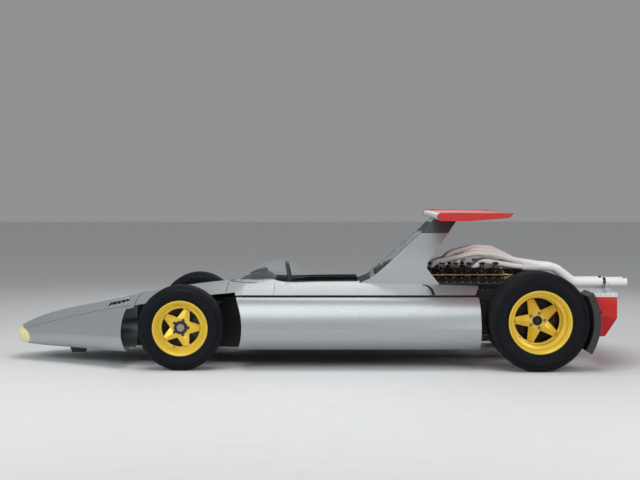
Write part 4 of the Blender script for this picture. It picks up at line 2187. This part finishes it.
@dataclass
class WingTrim:
    """Joint lines and rivets of the pylon and the wing, and the bead on the pylon's front edges.

    Attributes:
        away: How far from the car's middle the rays towards the pylon start.
        widest: Greatest distance from the middle of what counts as the pylon.
    """

    away: float = 1.5
    widest: float = 0.40

    def edge(self, pylon: Shell, side: Side, z: float, start: float, stride: float) -> Spot | None:
        """First place on the pylon at one height.

        Args:
            pylon: The pylon's surface.
            side: Side of the car.
            z: The height.
            start: X where the search starts.
            stride: Step along X, with its sign.

        Returns:
            The place, or None.
        """
        for step in range(220):
            found = pylon.beside(side, start + stride * step, z, self.away)
            if found and abs(found[0].y) < self.widest:
                return found
        return None

    def build(self) -> None:
        """Builds every piece of the pylon's and the wing's trim."""
        seams, rivets, bead = bmesh.new(), bmesh.new(), bmesh.new()
        pylon, wing = Shell("pylon"), Shell("wing")
        for side in Side:
            line = [pylon.beside(side, 0.55 + 0.008 * k, PYLON_JOINT_Z, self.away) for k in range(60)]
            pylon.ribbon(seams, line, 0.0035, 0.0007)
            heights = [0.600 + (0.985 - 0.600) * k / 39 for k in range(40)]
            front = [(found[0], z) for z in heights if (found := self.edge(pylon, side, z, 0.24, 0.003))]
            Maker.tube(bead, [point + Vector((0.004, -side.value * 0.006, 0)) for point, _ in front],
                       0.0055, 12)
            row = [pylon.beside(side, point.x + 0.026, z, self.away) for point, z in front[4:-4:4]]
            for z in (0.560, 0.600, 0.640, 0.690, 0.740, 0.790, 0.840):
                found = self.edge(pylon, side, z, 1.00, -0.003)
                row.append(found and pylon.beside(side, found[0].x - 0.018, z, self.away))
            Maker.rivets(rivets, row, *PYLON_RIVET)
        row = [wing.drop(x, -0.70 + 0.05 * k) for k in range(29) for x in (0.835, 1.278)]
        Maker.rivets(rivets, row, *WING_RIVET)
        for x in (WING_JOINT_X, 1.268):
            wing.ribbon(seams, [wing.drop(x, -0.716 + 1.432 * k / 60) for k in range(61)], 0.0025, 0.0006)
        Maker.piece("wing_seams", seams, SEAL_BLACK, "chassis")
        Maker.piece("wing_rivets", rivets, STEEL, "chassis", 50)
        Maker.piece("pylon_beads", bead, SEAL_BLACK, "chassis", 60)


@dataclass
class RunningGear:
    """Spring units, lock nuts, brake pipes and shaft boots of the suspension.

    Attributes:
        coil_r: Radius of a coil's middle line.
        wire_r: Radius of its wire.
        turns: Turns of a coil.
        body_r: Radius of a damper.
    """

    coil_r: float = 0.0295
    wire_r: float = 0.0046
    turns: float = 8.0
    body_r: float = 0.0185

    def build(self) -> None:
        """Builds both ends."""
        for side in Side:
            s = side.value
            self.unit(f"spring_unit_front_{side.word}", (-0.936, s * 0.585, 0.196),
                      (-0.900, s * 0.446, 0.436), side)
            self.unit(f"spring_unit_rear_{side.word}", (1.392, s * 0.612, 0.238), (1.378, s * 0.236, 0.462),
                      side)
        self.rod_ends()
        self.boots()

    def unit(self, name: str, low: Point, high: Point, side: Side) -> None:
        """Builds one spring around its damper, with an eye and a bracket at each end.

        Args:
            name: Name of its pieces.
            low: Its lower eye.
            high: Its upper eye.
            side: Side of the car.
        """
        start, end = Vector(low), Vector(high)
        axis = end - start
        long = axis.length
        place = Maker.facing(start, axis)
        damper, coil = bmesh.new(), bmesh.new()
        r = self.body_r
        Maker.lathe(damper, [(0.010, 0), (0.010, 0.011), (0.030, 0.013), (0.034, r), (long * 0.62, r),
                             (long * 0.63, 0.0075), (long - 0.034, 0.0075),
                             (long - 0.032, self.coil_r + 0.004), (long - 0.026, self.coil_r + 0.004),
                             (long - 0.020, 0.013), (long - 0.010, 0.011), (long - 0.010, 0)], place, 32)
        Maker.lathe(damper,
                    [(0.046, r), (0.046, self.coil_r + 0.005), (0.052, self.coil_r + 0.005), (0.056, r)],
                    place, 32)
        for k in range(9):
            Maker.lathe(damper,
                        [(0.058 + 0.003 * k, r), (0.059 + 0.003 * k, r + 0.0009), (0.060 + 0.003 * k, r)],
                        place, 24)
        first, last = 0.052 + self.wire_r, long - 0.032 - self.wire_r
        path = []
        steps = int(self.turns * 20)
        for i in range(steps + 1):
            share = i / steps
            a = math.tau * self.turns * share
            path.append(place @ Vector((first + (last - first) * share, self.coil_r * math.cos(a),
                                        self.coil_r * math.sin(a))))
        Maker.tube(coil, path, self.wire_r, 8)
        for point in (start, end):
            eye = Matrix.Translation(point)
            Maker.lathe(damper, Maker.band(-0.011, 0.011, 0.006, 0.015), eye, 24, closed=True)
            Maker.lathe(damper, Maker.band(-0.020, 0.020, 0, 0.0058), eye, 12)
            inward = Vector((0, 0, -0.012) if point is start else (0, -side.value * 0.020, 0))
            for way in (-1, 1):
                Maker.slab(damper, Matrix.Translation(point + Vector((way * 0.0145, 0, 0)) + inward * 0.6),
                           (0.005, 0.034, 0.034), 0.003)
        Maker.piece(f"{name}_damper", damper, DARK_STEEL, "chassis", 40)
        Maker.piece(f"{name}_coil", coil, STEEL, "chassis", 60)

    def rod_ends(self) -> None:
        """Lock nuts near the outer ends of the front arms, and a brake pipe over each upper arm."""
        nuts, pipes = bmesh.new(), bmesh.new()
        upper_z, lower_z = 0.397, 0.173  # heights of the knuckle's ball joints
        for side in Side:
            s = side.value
            for ball_z, legs in ((upper_z, ((-0.130, -0.022), (0.262, 0.036))),
                                 (lower_z, ((-0.130, 0.010), (0.262, 0.010)))):
                for dx, dz in legs:
                    outer = Vector((FRONT_AXLE_X, s * 0.700, ball_z))
                    way = Vector((FRONT_AXLE_X + dx, s * 0.400, ball_z + dz)) - outer
                    for share in (0.16, 0.24):
                        Maker.lathe(nuts, Maker.band(-0.006, 0.006, 0.0095, 0.0165),
                                    Maker.facing(outer + way * share, way), 6)
            outer = Vector((FRONT_AXLE_X, s * 0.690, upper_z + 0.012))
            inner = Vector((-0.688, s * 0.400, 0.445))
            run = [outer + (inner - outer) * share + Vector((0, 0, 0.004))
                   for share in (0.14, 0.4, 0.7, 0.95)]
            Maker.tube(pipes, Maker.curve(run, 4), 0.0026, 8)
        Maker.piece("arm_nuts", nuts, STEEL, "chassis")
        Maker.piece("brake_pipes", pipes, BRASS, "chassis", 60)

    def boots(self) -> None:
        """Pleated boots and bolted joints of the drive shafts."""
        for side in Side:
            rubber, metal = bmesh.new(), bmesh.new()
            for start, way in ((0.206, 1), (0.556, -1)):
                spot = (REAR_AXLE_X, side.value * start, REAR_AXLE_Z)
                place = Maker.turned(spot, side.value * way * math.pi / 2, "Z")
                profile = [(0.0, 0.040)]
                for k in range(5):
                    at, r = 0.008 + 0.012 * k, 0.0415 - 0.0042 * k
                    profile += [(at, r), (at + 0.006, r - 0.0065)]
                profile += [(0.070, 0.0205), (0.078, 0.0205), (0.078, 0.0182)]
                Maker.lathe(rubber, profile, place, 36)
                Maker.lathe(metal, Maker.band(0.071, 0.076, 0.0206, 0.0216), place, 28)
                for point in Maker.circle(place, -0.0498, 0.032, 6):
                    Maker.bolt(metal, point, (0, -side.value * way, 0), 0.0052, 0.005, False)
            Maker.piece(f"shaft_boots_{side.word}", rubber, SEAL_BLACK, f"wheel_rear_{side.word}", 25)
            Maker.piece(f"shaft_bolts_{side.word}", metal, STEEL, f"wheel_rear_{side.word}")


# ------------------------------------------------------------------ studio


@dataclass
class Studio:
    """Pale floor, soft lamps and the camera.

    Attributes:
        eye: Where the camera stands.
        pitch: How far it looks down, in degrees.
        lens: Focal length in millimetres on a sensor 36 mm wide.
        floor_half: Half the floor's width.
    """

    eye: Point = (-0.0125, -10.96, 1.245)
    pitch: float = 2.09
    lens: float = 85.05
    floor_half: float = 40.0

    def build(self) -> None:
        """Sets up the floor, the lamps, the world and the camera."""
        self.floor()
        self.lamps()
        self.world()
        self.camera()

    def floor(self) -> None:
        """Lays the floor."""
        mesh = bmesh.new()
        half = self.floor_half
        mesh.faces.new([mesh.verts.new(p) for p in ((-half, -half, 0), (half, -half, 0), (half, half, 0),
                                                    (-half, half, 0))])
        made = Maker.placed("floor", mesh)
        made.data.materials.append(FLOOR.material())

    def lamps(self) -> None:
        """Hangs large soft lamps above and beside the car."""
        for name, place, aim, size, power in (
            ("lamp_over", (-0.4, -1.2, 5.4), (0.0, 0.0, 0.4), 5.0, 135.0),
            ("lamp_front", (-5.2, -5.4, 3.4), (-0.5, 0.0, 0.4), 3.0, 165.0),
            ("lamp_tail", (4.2, -5.8, 3.2), (0.9, 0.0, 0.6), 3.0, 135.0),
            ("lamp_far", (0.6, 5.6, 3.8), (0.0, 0.0, 0.4), 4.0, 60.0),
        ):
            lamp = bpy.data.lights.new(name, "AREA")
            lamp.shape, lamp.size, lamp.energy = "DISK", size, power
            made = bpy.data.objects.new(name, lamp)
            bpy.context.scene.collection.objects.link(made)
            made.location = place
            made.rotation_euler = (Vector(aim) - Vector(place)).to_track_quat("-Z", "Y").to_euler()

    def world(self) -> None:
        """Fills the surroundings with plain pale light."""
        world = bpy.data.worlds.new("pale_room")
        bpy.context.scene.world = world
        world.use_nodes = True
        back = world.node_tree.nodes["Background"]
        back.inputs["Color"].default_value = (0.93, 0.95, 0.97, 1)
        back.inputs["Strength"].default_value = 0.30

    def camera(self) -> None:
        """Places the camera."""
        lens = bpy.data.cameras.new("camera")
        lens.lens, lens.sensor_width = self.lens, 36.0
        made = bpy.data.objects.new("camera", lens)
        bpy.context.scene.collection.objects.link(made)
        made.location = self.eye
        made.rotation_euler = (math.radians(90 - self.pitch), 0, 0)
        bpy.context.scene.camera = made
        bpy.context.scene.view_settings.view_transform = "Standard"


# ------------------------------------------------------------------ the car


def plain_finishes() -> dict[str, Finish | ClearSheet]:
    """Finishes of the CAD nodes that keep their own shape.

    Returns:
        Finish for each node.
    """
    made: dict[str, Finish | ClearSheet] = {
        "cam_covers": CRACKLE, "cockpit_deck": SILVER, "cylinder_heads": CAST, "dash_hood": HOOD,
        "deck_seals": SEAL_BLACK, "engine_block": CAST, "front_deck": SILVER, "gearbox": CAST,
        "intake_stubs": CRACKLE, "nose_ring": CREAM, "nose_shell": SILVER, "nose_skids": TUB_BLACK,
        "pylon": PYLON_SILVER, "radiator": CORE, "seat": TUB_BLACK, "headrest": LEATHER,
        "steering_rack": DARK_STEEL, "tail_cap": WHITE, "tub": TUB_BLACK, "windscreen": CLEAR,
        "wing": WING_TOP, "steering_wheel": LEATHER,
    }
    for side in Side:
        made |= {
            f"{node}_{side.word}": finish for node, finish in {
                "drive_shaft": DARK_STEEL, "exhaust": PIPE, "front_lower_arm": STEEL,
                "front_upper_arm": STEEL, "knuckle": CAST, "pontoon": SILVER, "rear_carrier": CAST,
                "rear_deck": SILVER, "tail_box": RED, "tyre_guard": GUARD_BLACK,
                "wing_plate": WING_RED,
            }.items()
        }
    return made


def main() -> None:
    """Builds the car's looks in order, and notes its size before and after."""
    FRAME.update(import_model())
    for node, finish in plain_finishes().items():
        dress(node, finish, 75.0 if node == "dash_hood" else 30.0)
    Bodywork().build()
    Cockpit().build()
    engine = PowerUnit()
    engine.build()
    ExhaustTrim().build(engine)
    TailTrim().build()
    WingTrim().build()
    RunningGear().build()
    for side in Side:
        sign = side.value
        RoadWheel(End.FRONT, side, (FRONT_AXLE_X, sign * 0.765, 0.285), tyre_r=0.285, tyre_w=0.260,
                  rim_r=0.186, rim_w=0.246, dish=0.074, star_r=0.130, step_r=0.150, step_out=0.028,
                  turn=107.0, valve=251.0, grooves=4).build()
        RoadWheel(End.REAR, side, (REAR_AXLE_X, sign * 0.800, REAR_AXLE_Z), tyre_r=0.332, tyre_w=0.370,
                  rim_r=0.212, rim_w=0.352, dish=0.170, star_r=0.152, step_r=0.163, step_out=0.070,
                  turn=0.0, valve=223.0, grooves=5).build()
    Studio().build()
    bpy.context.view_layer.update()
    LOG.info("car dressed")


if __name__ == "__main__":
    main()
